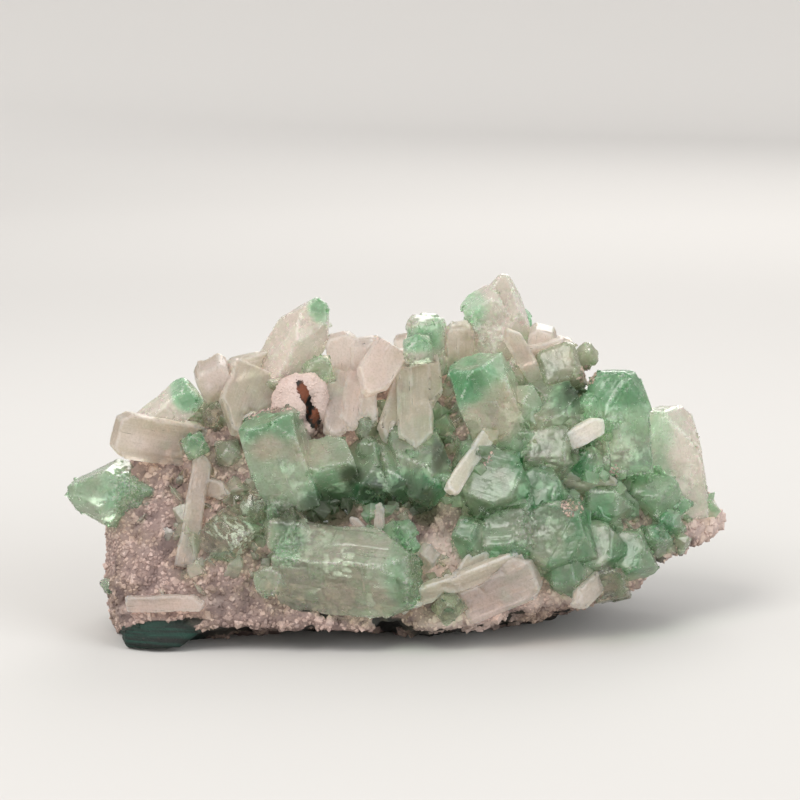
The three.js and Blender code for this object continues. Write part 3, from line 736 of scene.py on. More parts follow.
# %% Crystals: growth steps
def stepped(node, width, length, rise, share, draw):
    """A CAD node with growth steps on its large faces, the directions of its flat faces, and points on its edges.
    The layer "facet" says which flat face a polygon came from."""
    bm = merged(node)
    bmesh.ops.dissolve_limit(bm, angle_limit=FLAT, verts=bm.verts, edges=bm.edges)
    edges = points_on_edges(bm)
    facet = bm.faces.layers.int.new("facet")
    directions = []
    for number, face in enumerate(list(bm.faces)):
        along, across = face_directions(face)
        directions.append((along, across))
        face[facet] = number
        if face.calc_area() < 4 * width * width:
            continue
        for strip in cut_into_strips(bm, face, across, width, draw):
            for plate in cut_into_strips(bm, strip, along, length * draw.uniform(0.3, 1), draw):
                if draw.random() < share and plate.calc_area() > 0.5 * width * width:
                    bmesh.ops.inset_individual(bm, faces=[plate], thickness=draw.uniform(0.05, 0.3) * MM,
                                               depth=rise * draw.uniform(0.3, 1.0), use_even_offset=True)
    bmesh.ops.triangulate(bm, faces=bm.faces)
    return bm, directions, edges


test, test_directions, _ = stepped("apophyllite_front_block", 3 * MM, 9 * MM, 0.4 * MM, 0.4, random.Random(1))
print("front block:", len(test_directions), "flat faces,", len(test.faces), "triangles with steps")
test.free()

# %% [markdown]
# ## Crystals: worn skin
#
# The fine mesh is then moved point by point. Near an edge the points sink as if the edge were rounded to a radius.
# Noise makes that radius larger where the edge is worn, and chips it here and there. The whole crystal bends by a
# fraction of a millimetre, because a natural face is never quite flat. Where a crystal is corroded, small blocks of
# it stand in and out. The mesh keeps where its edges and its corroded places are, for the material.

# %% Crystals: rough places and unevenness
ROUGH_PLACES = [(-68, 34, 6, 10, 0), (3.4, 14, 3.4, 14, 0), (-28, 21, 5, 7, 0), (-7.5, 31, 6, 3.5, 0),
                (9.5, 37.5, 4, 2.5, 0), (31, 24, 4, 8, 0), (64, 24, 3.5, 5, 0), (-31, 31, 6, 4, 0),
                (54, 53, 3, 4, 0), (13, 13, 5, 4, 0), (22, 75, 5, 5, 0)]


def rounded(mesh, points, share, rounds):
    """Points drawn towards the middle of their neighbours, each by its own share."""
    pairs = np.empty(len(mesh.edges) * 2, np.int32)
    mesh.edges.foreach_get("vertices", pairs)
    pairs = pairs.reshape(-1, 2)
    ends = np.concatenate([pairs, pairs[:, ::-1]])
    count = np.maximum(np.bincount(ends[:, 0], minlength=len(points)), 1)
    for _ in range(rounds):
        middle = [np.bincount(ends[:, 0], points[ends[:, 1], axis], len(points)) / count for axis in range(3)]
        points = points + share[:, None] * (np.column_stack(middle) - points)
    return points


def blocks(points, size):
    """Noise that is level over small cubes and jumps between them, from -1 to 1."""
    return np.array([2 * noise.cell(Vector(p) / size) - 1 for p in points])


def ridges(points, facet, directions, seed):
    """Level strips of uneven width that run along each face, from -1 to 1."""
    across = (points * np.array([d[1] for d in directions])[facet]).sum(1) / MM
    uneven = across * 1.4 + 0.6 * np.sin(across * 2.1 + facet)
    return np.array([2 * noise.cell(Vector((u, f + 0.5, seed + 0.5))) - 1 for u, f in zip(uneven, facet)])


# %% Crystals: worn edges, and how the strips lie
def nearest_edge(edges, points):
    """How far each point is from the nearest edge, and half the angle that this edge turns."""
    tree = kdtree.KDTree(len(edges))
    for number, (place, _) in enumerate(edges):
        tree.insert(place, number)
    tree.balance()
    found = [tree.find(p) for p in points]
    return np.array([f[2] for f in found]), np.array([edges[f[1]][1] for f in found])


def fillet(gap, half_turn, radius):
    """How deep the skin lies under a face near an edge that is rounded to a radius."""
    reach = np.clip(radius * np.tan(half_turn) - gap, 0, radius * np.sin(half_turn))
    return radius - np.sqrt(radius ** 2 - reach ** 2)


def corner_lay(mesh, facet, directions):
    """For each corner, its place along and across its own flat face, and a number for the face."""
    corner = np.empty(len(mesh.loops), np.int32)
    mesh.loops.foreach_get("vertex_index", corner)
    first = corner[np.array([p.loop_start for p in mesh.polygons])]
    sides = np.array([p.loop_total for p in mesh.polygons])
    face = np.repeat(facet[first], sides)
    place = coordinates(mesh)[corner]
    along = np.array([d[0] for d in directions])[face]
    across = np.array([d[1] for d in directions])[face]
    return np.column_stack([(place * along).sum(1), (place * across).sum(1), 0.07 * face])


# %% Crystals: the skin
SKIN = 0.27 * MM
BEND = 0.45 * MM
WORN = 1.3 * MM
CHIP = 0.35
EDGE_CORE = 0.1 * MM
EDGE_REACH = 0.5 * MM


def fine_crystal(node, seed, cell, width, length, rise, share, ridge, radius):
    """The finished mesh of a crystal: cells, strips and steps of those sizes, the share of steps that stand out,
    the height of its ridges and the radius of its edges."""
    bm, directions, edges = stepped(node, width, length, rise, share, random.Random(node))
    surface = BVHTree.FromBMesh(bm)
    layer = bm.faces.layers.int["facet"]
    facet_of = np.array([f[layer] for f in bm.faces])
    mesh = remeshed(node, bm, cell)
    nearest = [surface.find_nearest(p) for p in coordinates(mesh)]
    points = np.array([hit[0] for hit in nearest])
    facet = facet_of[np.array([hit[2] for hit in nearest])]
    flat = np.cross([d[0] for d in directions], [d[1] for d in directions])[facet]
    gap, half_turn = nearest_edge(edges, points)
    edge = 1 - smooth_step(EDGE_CORE, EDGE_REACH, gap)
    wear = WORN * smooth_step(0.0, 0.6, lumps(points, 5 * MM, seed + 9) + 0.3 * lumps(points, 1.5 * MM, seed + 8))
    points = points - flat * fillet(gap, half_turn, radius + wear)[:, None]
    points = rounded(mesh, points, 0.05 + 0.2 * edge, 2)
    move(mesh, points)

    outward = normals(mesh)
    rough = covered(as_seen(points), ROUGH_PLACES, 0.5, 0.25 * lumps(points, 3 * MM, seed + 1))
    chips = smooth_step(0.0, 0.4, lumps(points, 1.9 * MM, seed + 2)) + 0.5 * blocks(points, 0.9 * MM)
    chips = np.maximum(chips, 0) * edge
    ripple = 0.06 * lumps(points, 2.4 * MM, seed + 3) + 0.03 * lumps(points, 0.9 * MM, seed + 4)
    hackly = rough * (0.16 * blocks(points, 1.3 * MM) + 0.1 * blocks(points + 1, 0.8 * MM) - 0.05)
    height = ripple + hackly - CHIP * chips + ridge * ridges(points, facet, directions, seed)
    waves = [lumps(points, 11 * MM, seed + 5 + axis) for axis in range(3)]
    points = points + outward * (SKIN + height[:, None] * MM) + BEND * np.column_stack(waves)
    points[:, 2] = np.maximum(points[:, 2], 0)
    lay = corner_lay(mesh, facet, directions)
    move(mesh, points)
    # The white of worn, chipped edges, partly a painted edge highlight, follows each rounded edge.
    bright = 1 - smooth_step(EDGE_CORE, EDGE_REACH, abs(gap - 0.3 * (radius + wear)))
    tone = np.array([random.Random(f"{node}{n}").uniform(-1, 1) for n in range(len(directions))])
    remember(mesh, lay=lay, edge=bright, rough=rough, tone=tone[facet])
    mesh.shade_smooth()
    return mesh


# %% [markdown]
# ## Apophyllite: the finish
#
# Apophyllite is a soft clear mineral, and the green comes in clouds, strongest at the ends of the crystals. Most of
# these are cloudy: light enters them, scatters on veils and cracks, and comes out again. In Cycles this is a
# Principled shader that transmits a half to nearly all of its light and scatters the rest below the surface, with a
# little absorption in the volume. Clear, cloudy, dense and milky crystals differ in those shares, so they are four
# materials from one function. The green of each place, the white of the worn edges, which is partly a painted edge
# highlight, and the frosted places come from attributes of the mesh, so a crystal keeps its colours when it is
# looked at from another side. So does the painted shade on the greyish crystals away from the key lamp and in the
# gaps where the crystals crowd. White flecks from noise are partly splinters and partly painted glints.

# %% Apophyllite: colours
PALE_GREEN = (0.59, 0.62, 0.51)
PALE_PINK = (0.76, 0.67, 0.62)
MIDDLE_GREEN = (0.37, 0.66, 0.43)
DEEP_GREEN = (0.11, 0.40, 0.19)
# The next colour is painted shade, for the gaps where the crystals crowd.
SHADE_GREEN = (0.05, 0.075, 0.035)
WARM_BEIGE = (0.76, 0.67, 0.54)
OLIVE = (0.27, 0.32, 0.20)
VEIL_WHITE = (0.86, 0.88, 0.82)
APOPHYLLITE_IOR = 1.535
APOPHYLLITE_GLOW = (2.6, 3.6, 2.8)
print("green to white:", MIDDLE_GREEN, DEEP_GREEN, VEIL_WHITE)


# %% Apophyllite: the recipe
def apophyllite_material(name, clearness, milk, absorption, body, inside, tint):
    material, r, place = new_material(name)
    cloud = r.noise(place, 130, detail=3, distortion=0.8)
    small_cloud = r.noise(place, 480, detail=4, roughness=0.65)
    speck = r.noise(place, 1900, detail=2)
    edge = r.attribute("edge")
    rough = r.attribute("rough")
    lines = r.noise(r.stretched(r.attribute("lay", "Vector"), (120, 1500, 1)), 1.0, detail=4)

    drift = r.node("ShaderNodeTexNoise", {"Vector": place, "Scale": 160.0, "Detail": 2.0})["Color"]
    drift = r.node("ShaderNodeVectorMath", {0: drift, "Scale": 4.5 * MM}, operation="SCALE")["Vector"]
    bent = r.node("ShaderNodeVectorMath", {0: place, 1: drift}, operation="ADD")["Vector"]
    sockets = {"Vector": bent, "Scale": 230.0, "Smoothness": 0.35}
    patch = r.node("ShaderNodeTexVoronoi", sockets, feature="SMOOTH_F1")["Color"]
    patch = r.node("ShaderNodeSeparateColor", {"Color": patch})

    sockets = {"Vector": r.stretched(place, (0.45, 1.0, 1.5)), "Scale": 200.0, "Detail": 5.0, "Distortion": 1.2}
    veils = r.node("ShaderNodeTexNoise", sockets, noise_type="RIDGED_MULTIFRACTAL")["Fac"]
    veils = r.between(veils, 0.45, 0.9) * r.between(cloud, 0.4, 0.7)
    haze = r.between(patch["Blue"], 0.55, 0.85)
    # White flecks: partly small white splinters, partly painted glints.
    flecks = r.between(speck, 0.56, 0.66) * (0.1 + 0.9 * rough + 0.4 * edge).kept()
    streaks = r.noise(r.stretched(place, (300, 2600, 2600), (0.6, 0.3, 0.8)), 1.0, detail=2)
    scratches = r.between(lines, 0.58, 0.7) * r.between(small_cloud, 0.42, 0.55)
    scratches = scratches + r.between(streaks, 0.6, 0.68) * r.between(cloud, 0.4, 0.6)
    ragged = r.between(small_cloud, 0.42, 0.62) * r.between(speck, 0.42, 0.58)
    # White: the milk, veils and haze are the crystal's own; the white along the edges is partly worn and partly a
    # painted edge highlight.
    white = milk + 0.7 * edge * ragged + 0.3 * veils + 0.12 * haze
    # The grey olive, which is partly painted shade, also takes white away.
    white = (white + 0.8 * flecks + 0.4 * scratches) * (1.0 - 0.5 * r.attribute("dull"))
    # Painted shade in the crowded gaps also takes the white away.
    white = white * (1.0 - 0.7 * r.attribute("dark"))

    green = r.attribute("green") * (0.3 + 0.8 * cloud + 0.4 * patch["Red"] + 0.3 * small_cloud)
    # Grey olive, partly painted shade; less where the crystal is green, and more in random patches and on some facets.
    dull = r.attribute("dull") * (0.5 + cloud) * (1.0 - 0.9 * green.kept())
    dull = dull + (0.3 - 1.3 * milk) * r.between(patch["Green"], 0.55, 0.8) + 0.12 * r.attribute("tone")
    colour = r.painted(
        body,
        (r.between(green, 0.05, 0.6), MIDDLE_GREEN),
        (r.between(green, 0.5, 1.0), DEEP_GREEN),
        ((r.attribute("warm") * (0.4 + cloud)).kept(), WARM_BEIGE),
        (r.between(speck, 0.5, 0.38) * 0.3, OLIVE),
        # Grey olive, partly the crystal's own colour and partly painted shade.
        (dull.kept(), OLIVE),
        # Painted shade in the gaps where the crystals crowd.
        (r.attribute("dark") * 0.78, SHADE_GREEN),
        (white.kept() * 0.9, VEIL_WHITE),
    )

    hackles = r.node("ShaderNodeTexVoronoi", {"Vector": place, "Scale": 900.0}, feature="F1")["Distance"]
    normal = r.bumpy(lines * 0.4 + small_cloud * 0.5 + speck * 0.3 + hackles * rough, 0.6, 0.2)
    roughness = (0.07 + 0.3 * milk + 0.2 * r.between(small_cloud, 0.45, 0.7) + 0.25 * white).kept()
    depth = r.node("ShaderNodeVolumeAbsorption", {"Color": inside, "Density": absorption})["Volume"]
    r.finish(colour, roughness, crystal_body(clearness, APOPHYLLITE_IOR, APOPHYLLITE_GLOW, normal), tint, depth)
    return material


# %% Apophyllite: four materials
GREEN_DEPTH = (0.68, 0.86, 0.71)
CLEAR = apophyllite_material("apophyllite_clear", 0.93, 0.0, 6.0, PALE_GREEN, GREEN_DEPTH, (0.93, 0.97, 0.94))
CLOUDY = apophyllite_material("apophyllite_cloudy", 0.7, 0.04, 6.0, PALE_GREEN, GREEN_DEPTH, (0.85, 0.93, 0.86))
DENSE = apophyllite_material("apophyllite_dense", 0.55, 0.04, 5.0, PALE_GREEN, GREEN_DEPTH, (0.85, 0.93, 0.86))
MILKY = apophyllite_material("apophyllite_milky", 0.5, 0.15, 2.0, PALE_PINK, (0.86, 0.84, 0.80), (0.84, 0.81, 0.78))
print("apophyllite:", CLEAR.name, CLOUDY.name, DENSE.name, MILKY.name)

# %% [markdown]
# ## Apophyllite: which crystal is how green
#
# Each crystal has its material, how green and how warm its body is, and its greener and its warmer places. A place
# is (right, up, half width, half height, turn, strength) in millimetres and degrees, as seen from the front. Some
# crystals have rounder edges or faces with hardly a step, and some a dull greyish body, which is partly their own
# olive grey and partly painted shade, most of all on the crystals of the lower right, away from the key lamp. In the
# gaps where they crowd, all of them get painted shade, and small crystals grow on their sides.

# %% Apophyllite: bodies and their green and warm places
APOPHYLLITE = {
    "front_block": (CLOUDY, 0.16, 0.2, [(2.5, 15, 8, 15, 0, 0.75), (-28, 22, 6, 7, 0, 0.6)],
                    [(-14, 10, 14, 5, 0, 0.4)]),
    "left_end": (CLOUDY, 0.3, 0.0, [(-68, 34, 8, 9, 0, 0.3)], []),
    "left_giant": (DENSE, 0.3, 0.1, [(-34, 52, 10, 6, 0, 1.6), (-18, 35, 8, 7, 0, 0.5)],
                   [(-33, 46, 6, 5, 0, 0.9), (-22.5, 45, 8, 5, 0, 0.9)]),
    "centre": (DENSE, 0.3, 0.0, [(16, 64, 10, 9, 0, 0.65), (13, 58, 5, 8, 0, 0.3)],
               [(26, 56, 8, 10, 0, 1.1), (20, 51, 9, 8, 0, 1.2)]),
    "right_barrel": (CLOUDY, 0.35, 0.1, [(54, 62, 13, 8, 0, 1.0), (45.5, 44, 6, 6, 0, 1.0)], [(53, 45, 8, 6, 0, 0.5)]),
    "horn": (MILKY, 0.0, 0.1, [(-19.5, 81.5, 5, 6, 0, 0.9)], []),
    "peak": (MILKY, 0.0, 0.1, [(18, 81, 6, 8, 0, 0.5), (30, 73, 6, 4, 0, 0.3)], []),
    "right_end": (MILKY, 0.06, 0.1, [(65, 50, 5, 10, 0, 0.3), (65, 40, 5, 6, 0, 0.3)], []),
    "ridge_stub": (MILKY, 0.15, 0.1, [(8, 76, 5, 8, 0, 0.3), (4, 73, 7, 4, 0, 0.8)], []),
    "ridge_yellow": (CLOUDY, 0.5, 0.5, [], []),
    "ridge_window": (DENSE, 0.0, 0.9, [(42, 69, 2.5, 2.5, 0, 0.8), (48, 72, 4, 5, 0, 0.6)], []),
    "right_of_centre": (CLOUDY, 0.2, 0.2, [(42, 59, 6, 6, 0, 0.8), (34, 49, 5, 5, 0, 0.4)],
                        [(33, 51, 8, 7, 0, 0.9), (28, 61, 4, 6, 0, 0.6)]),
    "middle": (CLOUDY, 0.45, 0.1, [(35, 34, 7, 8, 0, 1.6), (30, 42, 5, 5, 0, 0.5)], []),
    "lower_right": (CLOUDY, 0.35, 0.1, [(16, 26, 6, 7, 0, 0.6), (45, 23, 5, 9, 0, 1.2), (40, 15, 7, 5, 0, 0.9),
                                        (25, 18, 9, 6, 0, 0.5), (56, 18, 5, 7, 0, 0.8)], []),
    "hollow": (CLOUDY, 0.35, 0.0, [(-7.5, 34, 6, 6, 0, 1.0), (3, 36, 8, 6, 0, 1.0), (10, 33, 6, 5, 0, 1.0)], []),
    "above_block": (CLOUDY, 0.4, 0.0, [], []),
    "bottom_small": (CLEAR, 0.45, 0.0, [], []),
    "bottom_clear": (CLEAR, 0.12, 0.3, [], []),
    "right_middle": (CLOUDY, 0.35, 0.1, [(51, 31, 5, 5, 0, 0.4)], []),
    "right_rhomb": (CLOUDY, 0.4, 0.05, [(71, 32, 4, 5, 0, 0.4)], []),
    "right_small": (CLOUDY, 0.3, 0.0, [(66, 26, 4, 5, 0, 0.9)], []),
    "left_clear": (CLEAR, 0.08, 0.2, [(-44, 19, 7, 4, 0, 0.3), (-36, 29, 5, 5, 0, 0.4)], []),
    "left_small": (CLOUDY, 0.6, 0.0, [], []),
    "left_chip": (CLOUDY, 0.2, 0.1, [], []),
    "left_grey": (CLEAR, 0.2, 0.2, [], []),
    "left_shoulder": (MILKY, 0.0, 0.1, [(-53, 60.5, 6, 7, 0, 1.2)], []),
    "left_side": (CLOUDY, 0.4, 0.0, [], []),
    "back_left": (MILKY, 0.15, 0.2, [], []),
    "back_right": (CLOUDY, 0.5, 0.0, [], []),
    "back_end": (MILKY, 0.25, 0.1, [], []),
}
print("large apophyllite crystals:", len(APOPHYLLITE))

# %% Apophyllite: edges, steps, and dull bodies, partly painted shade
EDGE_RADIUS = 0.15
ROUND_EDGES = {"right_barrel": 3.2, "ridge_stub": 2.6, "ridge_yellow": 1.5, "right_rhomb": 1.0, "left_side": 1.5,
               "ridge_window": 1.2, "right_end": 1.2}
# A grey olive body, partly the crystal's own colour and partly painted shade, most of all on the lower right, away
# from the key lamp.
DULL_AND_SHADED = {"middle": 1.0, "lower_right": 0.5, "left_giant": 0.25, "centre": 0.1, "ridge_window": 0.7, "ridge_stub": 0.25,
        "hollow": 0.5, "right_of_centre": 0.3, "above_block": 0.3, "left_chip": 0.3, "right_rhomb": 0.3,
        "right_small": 0.2, "right_middle": 0.3}
SMOOTH_FACES = ("middle", "left_giant", "ridge_window", "right_barrel", "right_rhomb", "right_end", "centre")
INTERGROWN = [(40, 38, 34, 24, 8), (2, 37, 14, 9, 0), (-40, 26, 12, 10, 0), (0, 20, 7, 7, 0), (-27, 23, 6, 6, 0)]


# %% Apophyllite: the crystals
def distance_to_crystals(points, but=None):
    """How far each point is from the nearest large crystal, leaving one out."""
    crystals = bmesh.new()
    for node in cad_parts:
        if node != "matrix" and node != but:
            crystals.from_mesh(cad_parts[node].data)
    surface = BVHTree.FromBMesh(crystals)
    crystals.free()
    return np.array([surface.find_nearest(p)[3] for p in points])


def values_of(mesh, name):
    values = np.empty(len(mesh.vertices), np.float32)
    mesh.attributes[name].data.foreach_get("value", values)
    return values


def strength_at(points, body, places):
    """How strong a colour is at each point: that of the whole body, and that of the places."""
    seen = as_seen(points)
    total = np.full(len(points), body)
    for *place, strength in places:
        total += strength * covered(seen, [place], 0.7)
    return np.minimum(total, 1)


together = bmesh.new()
for number, (name, (finish, green, warm, greener, warmer)) in enumerate(APOPHYLLITE.items()):
    node = "apophyllite_" + name
    mesh = fine_crystal(node, 10 * number, cell=0.36 * MM, width=4.5 * MM, length=16 * MM, rise=0.4 * MM,
                        share=0.08 if name in SMOOTH_FACES else 0.3, ridge=0.0,
                        radius=ROUND_EDGES.get(name, EDGE_RADIUS) * MM)
    points, outward = coordinates(mesh), normals(mesh)
    seen = as_seen(points)
    crowded = covered(seen, INTERGROWN, 0.4) * (outward[:, 1] < 0.3)
    crowded *= 1 - smooth_step(1.0 * MM, 2.8 * MM, distance_to_crystals(points, but=node))
    worn = smooth_step(0.5, 0.9, values_of(mesh, "edge")) * smooth_step(0.0, 0.4, lumps(points, 3 * MM, 80))
    # Two of these attributes hold painted shade: the grey olive of some crystals is partly painted shade, and the gaps
    # where crystals crowd are painted into shade.
    remember(mesh, green=strength_at(points, green, greener), warm=strength_at(points, warm, warmer),
             dull=DULL_AND_SHADED.get(name, 0.0), dark=covered(seen, SHADED_PLACES, 0.6), thicket=crowded,
             flakes=worn * (outward[:, 1] < 0.4))
    together.from_mesh(mesh)
    show("crystal_" + name, mesh, finish, [node])

# %% [markdown]
# ## Veils
#
# Inside a crystal, healed cracks and trapped water make thin white veils. They are real surfaces at real depths, so
# they are modelled: ragged sheets with holes, that stand parallel to a facet and stay inside the crystal. A grid is
# laid through a random point of the crystal, and only those of its squares are kept where noise says so and where
# the nearest facet is far enough. Each sheet gets a small thickness, so that it is a closed body.

# %% Veils: one ragged sheet
VEIL_CELL = 0.45 * MM
VEIL_DEPTH = 0.7 * MM
VEIL_THICKNESS = 0.05 * MM
VEIL_TRIES = 400


def inside(surface, point):
    """How deep a point is inside a closed surface, in metres. It is negative outside."""
    place, normal, _, distance = surface.find_nearest(point)
    return distance if (place - point).dot(normal) > 0 else -distance


def lay_veil(bm, surface, middle, face_normal, radius, draw):
    """Adds one ragged sheet to a mesh."""
    tilt = Vector((draw.uniform(-0.4, 0.4), draw.uniform(-0.4, 0.4), draw.uniform(-0.4, 0.4)))
    normal = (face_normal + tilt).normalized()
    across = normal.orthogonal().normalized()
    along = normal.cross(across)
    shift = Vector((draw.uniform(-90, 90), draw.uniform(-90, 90), draw.uniform(-90, 90)))
    count = int(radius / VEIL_CELL)
    corners = {}

    def corner(i, j):
        if (i, j) not in corners:
            place = middle + (across * i + along * j) * VEIL_CELL
            bow = noise.noise(place / (4 * MM) + shift) * 0.7 * MM
            corners[i, j] = bm.verts.new(place + normal * bow)
        return corners[i, j]

    for i in range(-count, count):
        for j in range(-count, count):
            place = middle + (across * (i + 0.5) + along * (j + 0.5)) * VEIL_CELL
            thin_out = math.hypot(i, j) / count
            lace = noise.noise(place / (1.6 * MM) + shift) + 0.7 * noise.noise(place / (3.5 * MM) - shift)
            if lace > 0.9 * thin_out - 0.25 and thin_out < 1 and inside(surface, place) > VEIL_DEPTH:
                bm.faces.new([corner(i, j), corner(i + 1, j), corner(i + 1, j + 1), corner(i, j + 1)])


# %% Veils: in a crystal, and their material
def veils_in(bm, node, count, draw):
    """Adds that many sheets inside a crystal."""
    crystal = merged(node)
    surface = BVHTree.FromBMesh(crystal)
    largest = sorted(crystal.faces, key=lambda f: -f.calc_area())[:12]
    low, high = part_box(node)
    for _ in range(VEIL_TRIES):
        place = Vector(draw.uniform(a, b) for a, b in zip(low, high))
        if inside(surface, place) > 1.2 * MM:
            lay_veil(bm, surface, place, draw.choice(largest).normal, draw.uniform(2.5, 7) * MM, draw)
            count -= 1
        if not count:
            break
    crystal.free()


def veil_material():
    material, r, place = new_material("veil")
    wisp = r.noise(place, 700, detail=4, distortion=1.0)
    colour = r.painted((0.80, 0.88, 0.80), (wisp, (0.95, 0.95, 0.90)))
    r.finish(colour, 0.5, {"Alpha": 0.25 + 0.7 * r.between(wisp, 0.4, 0.65)})
    return material


# %% Veils: all of them
VEIL_COUNT = {"front_block": 18, "left_giant": 5, "hollow": 6, "centre": 6, "right_barrel": 6, "right_end": 4,
              "middle": 3, "lower_right": 6, "right_of_centre": 4, "left_end": 8, "left_clear": 8, "horn": 4,
              "peak": 3, "left_shoulder": 3}
veil_sheets = bmesh.new()
for name, count in VEIL_COUNT.items():
    veils_in(veil_sheets, "apophyllite_" + name, count, random.Random("veil " + name))
bmesh.ops.recalc_face_normals(veil_sheets, faces=veil_sheets.faces)
bmesh.ops.solidify(veil_sheets, geom=veil_sheets.faces, thickness=VEIL_THICKNESS)
show("veils", as_mesh("veils", veil_sheets), veil_material())

# %% [markdown]
# ## The smallest crystals
#
# Between the large crystals stand hundreds of small ones, a few millimetres each. They are scattered like the
# grains of the crust, but where the slab has no bare crust to show: thickly on the right, in the hollow, along the
# ridge and as a collar round each large crystal. Their stones are short square prisms with cut corners, which is
# how small apophyllites grow. The same prisms grow on the large crystals where these touch each other, thin flakes
# of them sit along worn edges, and crumbs of the crust have stayed in a few places.

# %% Small crystals: where they stand
THICKETS = [(9, 55, 6, 15, 0), (40, 40, 30, 26, 10), (-6, 36, 22, 10, 0), (20, 66, 34, 9, 0), (-36, 30, 12, 12, 0),
            (-45, 55, 14, 7, 0), (66, 30, 9, 8, -40)]
CLEARINGS = [(10, 18, 8, 10, 0), (-52, 36, 9, 14, 0)]
points = coordinates(slab_mesh)
seen = as_seen(points)
thicket = covered(seen, THICKETS, 0.35, 0.3 * lumps(points, 6 * MM, 71))
thicket *= 1 - covered(seen, CLEARINGS, 0.3, 0.15 * lumps(points, 4 * MM, 72))
collar = 1 - smooth_step(1.2 * MM, 3.5 * MM, distance_to_crystals(points))
thicket = np.maximum(thicket, collar * smooth_step(-0.1, 0.3, lumps(points, 7 * MM, 75)))
thicket *= smooth_step(7, 11, seen[:, 1]) * smooth_step(-66, -60, seen[:, 0])
thicket *= crust * (normals(slab_mesh)[:, 1] < 0.3) * (slot + knob < 0.1)
# Painted shade in the crowded gaps, carried to the small crystals that grow there.
remember(slab_mesh, thicket=thicket, dark=covered(seen, SHADED_PLACES, 0.6),
         green=np.clip(0.3 + 0.5 * lumps(points, 9 * MM, 73), 0, 1) * smooth_step(-60, 0, seen[:, 0]),
         warm=np.clip(0.2 + 0.6 * lumps(points, 12 * MM, 74), 0, 1))
print(f"small crystals may grow on {(thicket > 0).mean():.0%} of the slab")


# %% Small crystals: six of them, and where they go
def small_crystal(draw):
    """A short square prism, one millimetre across, with a worn pyramid at each end."""
    bm = bmesh.new()
    length, flatness = draw.uniform(0.45, 1.0), draw.choice([0.3, 0.6, 1.0])
    for side in range(4):
        turn = math.pi / 2 * side
        out = draw.uniform(0.32, 0.55)
        for up in (-length, length):
            bm.verts.new((out * math.cos(turn), flatness * out * math.sin(turn), up * draw.uniform(0.3, 0.85)))
    for up in (-length, length):
        bm.verts.new((draw.uniform(-0.25, 0.25), draw.uniform(-0.25, 0.25), up))
    bmesh.ops.convex_hull(bm, input=bm.verts)
    bmesh.ops.dissolve_limit(bm, angle_limit=math.radians(8), verts=bm.verts, edges=bm.edges)
    bmesh.ops.bevel(bm, geom=bm.edges, offset=0.02, segments=1, affect="EDGES", profile=0.5)
    bmesh.ops.recalc_face_normals(bm, faces=bm.faces)
    return bm


small_crystals = stone_collection("small_crystal", small_crystal, 40)
for number, (finish, size, spacing) in enumerate([(CLOUDY, 5.2, 3.2), (CLOUDY, 3.2, 2.4), (CLEAR, 2.6, 2.6)]):
    scatter(f"small_crystals_{number}", slab_mesh, small_crystals, finish, "thicket",
            spacing=spacing, size=size, sink=0.2, variety=0.4, seed=20 + number)

# %% Small crystals: crumbs, growths and flakes on the large ones
CRUMBS = [(-32, 56, 7, 1.6, 4), (-38, 55, 4, 2, 0), (42.5, 31, 3.5, 2.6, 0), (47, 64, 3, 3, 0), (22, 43, 3, 1.2, 50),
          (54, 40, 2, 1.6, 0), (14, 77, 2, 2, 0)]
GROWTHS = [(CLOUDY, "thicket", 4.2, 3.4, 0.9), (CLEAR, "thicket", 2.2, 1.7, 0.3), (CLEAR, "flakes", 1.1, 1.1, 0.12)]

crystals_mesh = as_mesh("all_crystals", together)
points = coordinates(crystals_mesh)
crumbs = near(as_seen(points), CRUMBS)
crumbs = smooth_step(0.1, 0.4, crumbs + 0.3 * (crumbs > 0) * lumps(points, 2 * MM, 78))
remember(crystals_mesh, crumbs=crumbs * (normals(crystals_mesh)[:, 1] < 0.2), crust=1.0)
scatter("crumbs", crystals_mesh, grains, ROCK, "crumbs", spacing=0.6, size=0.9, sink=0.1, variety=0.5, seed=50)
for number, (finish, where, size, spacing, sink) in enumerate(GROWTHS):
    scatter(f"growths_{number}", crystals_mesh, small_crystals, finish, where,
            spacing=spacing, size=size, sink=sink, variety=0.45, seed=30 + number)

# %% [markdown]
# ## Stilbite
#
# Stilbite grows as sheaves: many thin blades side by side, a little unequal, with a pearly gloss. The faces get
# much narrower strips than those of apophyllite, from end to end, and about a third of them are raised. The finish
# is cream to pale pink and has fine bumps that run along the blades. A few blades are frosted, which is a second
# material that lets less light through.

# %% Stilbite: material
CREAM = (0.66, 0.60, 0.50)
PINK_WHITE = (0.86, 0.76, 0.72)
GREEN_WHITE = (0.62, 0.65, 0.53)
GREY_BEIGE = (0.52, 0.48, 0.40)
FROST_WHITE = (0.92, 0.86, 0.81)
STILBITE_IOR = 1.5
STILBITE_GLOW = (3.2, 2.8, 2.4)


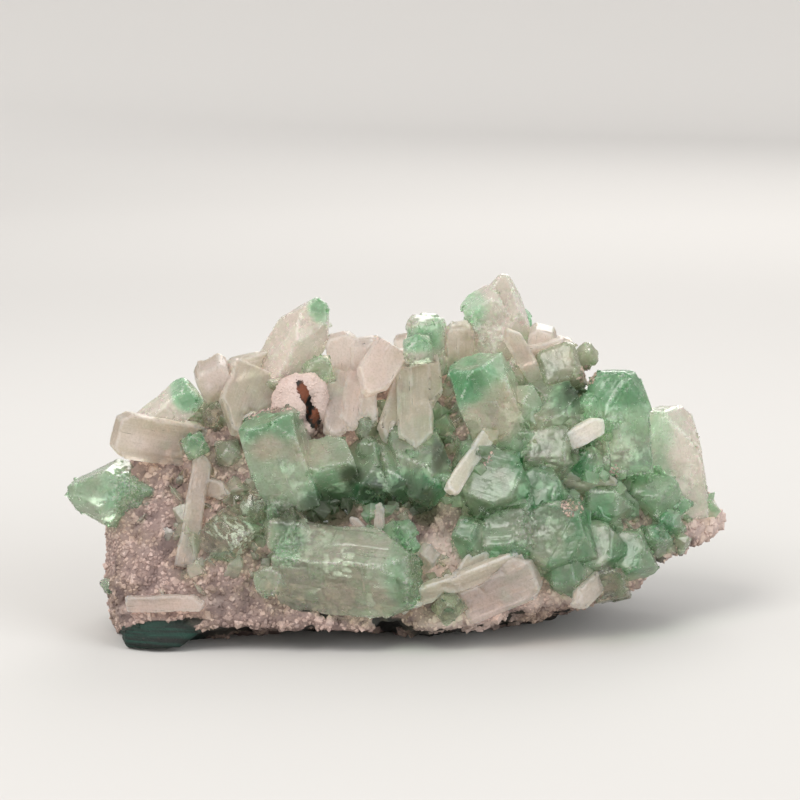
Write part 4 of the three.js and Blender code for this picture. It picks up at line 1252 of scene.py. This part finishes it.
def stilbite_material(name, clearness):
    material, r, place = new_material(name)
    cloud = r.noise(place, 130, detail=3)
    lay = r.attribute("lay", "Vector")
    frost = r.attribute("frost")
    lines = r.noise(r.stretched(lay, (110, 2600, 1)), 1.0, detail=4, roughness=0.6)
    broad_lines = r.noise(r.stretched(lay, (90, 700, 1)), 1.0, detail=3, distortion=0.3)
    speck = r.noise(place, 1900, detail=2)
    pink = r.attribute("pink") + 0.5 * (cloud - 0.5)
    # The white along the edges is partly worn and partly a painted edge highlight.
    white = (0.75 * r.attribute("edge") + r.between(lines, 0.55, 0.72) * (0.5 + frost) + 0.4 * frost).kept()
    colour = r.painted(
        CREAM,
        (r.between(pink, 0.0, -1.0), GREEN_WHITE),
        (pink.kept(), PINK_WHITE),
        (r.between(broad_lines, 0.5, 0.75) * 0.3, GREY_BEIGE),
        (r.between(r.noise(place, 260, detail=3), 0.5, 0.7) * 0.35, GREY_BEIGE),
        (white, FROST_WHITE),
        (r.between(speck, 0.5, 0.38) * 0.35, GREY_BEIGE),
        (r.between(speck, 0.56, 0.66) * 0.35, FROST_WHITE),
    )
    normal = r.bumpy(lines + broad_lines + 0.5 * speck, 0.8, 0.16)
    body = crystal_body(clearness, STILBITE_IOR, STILBITE_GLOW, normal)
    r.finish(colour, 0.18 + 0.3 * lines, body, tint=(0.8, 0.76, 0.72))
    return material


STILBITE = stilbite_material("stilbite", 0.7)
FROSTY_STILBITE = stilbite_material("stilbite_frosty", 0.45)
print("stilbite:", STILBITE.name, FROSTY_STILBITE.name)

# %% Stilbite: the blades
BLADES = {
    "left_blade": (0.35, []), "left_plate": (0.1, [(-60, 47, 14, 4, -10, 0.6)]),
    "left_plates": (0.0, [(-46, 64, 6, 6, 0, 1.4)]), "low_blade": (0.8, []), "ridge_leaf": (1.0, []),
    "ridge_sheaf": (0.8, []), "ridge_middle": (-0.1, [(2, 48, 5, 8, 0, 0.8)]), "ridge_lump": (0.3, []),
    "ridge_slope": (1.0, []), "ridge_crossed": (0.7, []), "rod": (-0.5, []), "long_blade": (0.1, []),
    "bottom_block": (1.0, []), "small_block": (0.6, []), "white_blade": (1.0, []), "right_bar": (0.1, []),
    "bottom_lens": (0.7, []), "spray": (0.8, []), "back_blades": (0.5, []),
}
BLADE_RADIUS = 0.1
ROUND_BLADES = {"left_plates": 0.8, "bottom_block": 0.4, "bottom_lens": 1.2, "ridge_leaf": 0.5, "ridge_middle": 0.8,
                "ridge_lump": 1.0, "ridge_sheaf": 0.6}
FROSTED = {"white_blade": 1.0, "rod": 0.3, "long_blade": 0.1}
for number, (name, (pink, pinker)) in enumerate(BLADES.items()):
    node = "stilbite_" + name
    mesh = fine_crystal(node, 500 + 10 * number, cell=0.3 * MM, width=1.8 * MM, length=200 * MM, rise=0.12 * MM,
                        share=0.3, ridge=0.04, radius=ROUND_BLADES.get(name, BLADE_RADIUS) * MM)
    remember(mesh, pink=strength_at(coordinates(mesh), pink, pinker), frost=FROSTED.get(name, 0.0))
    show("blades_" + name, mesh, FROSTY_STILBITE if name in FROSTED else STILBITE, [node])
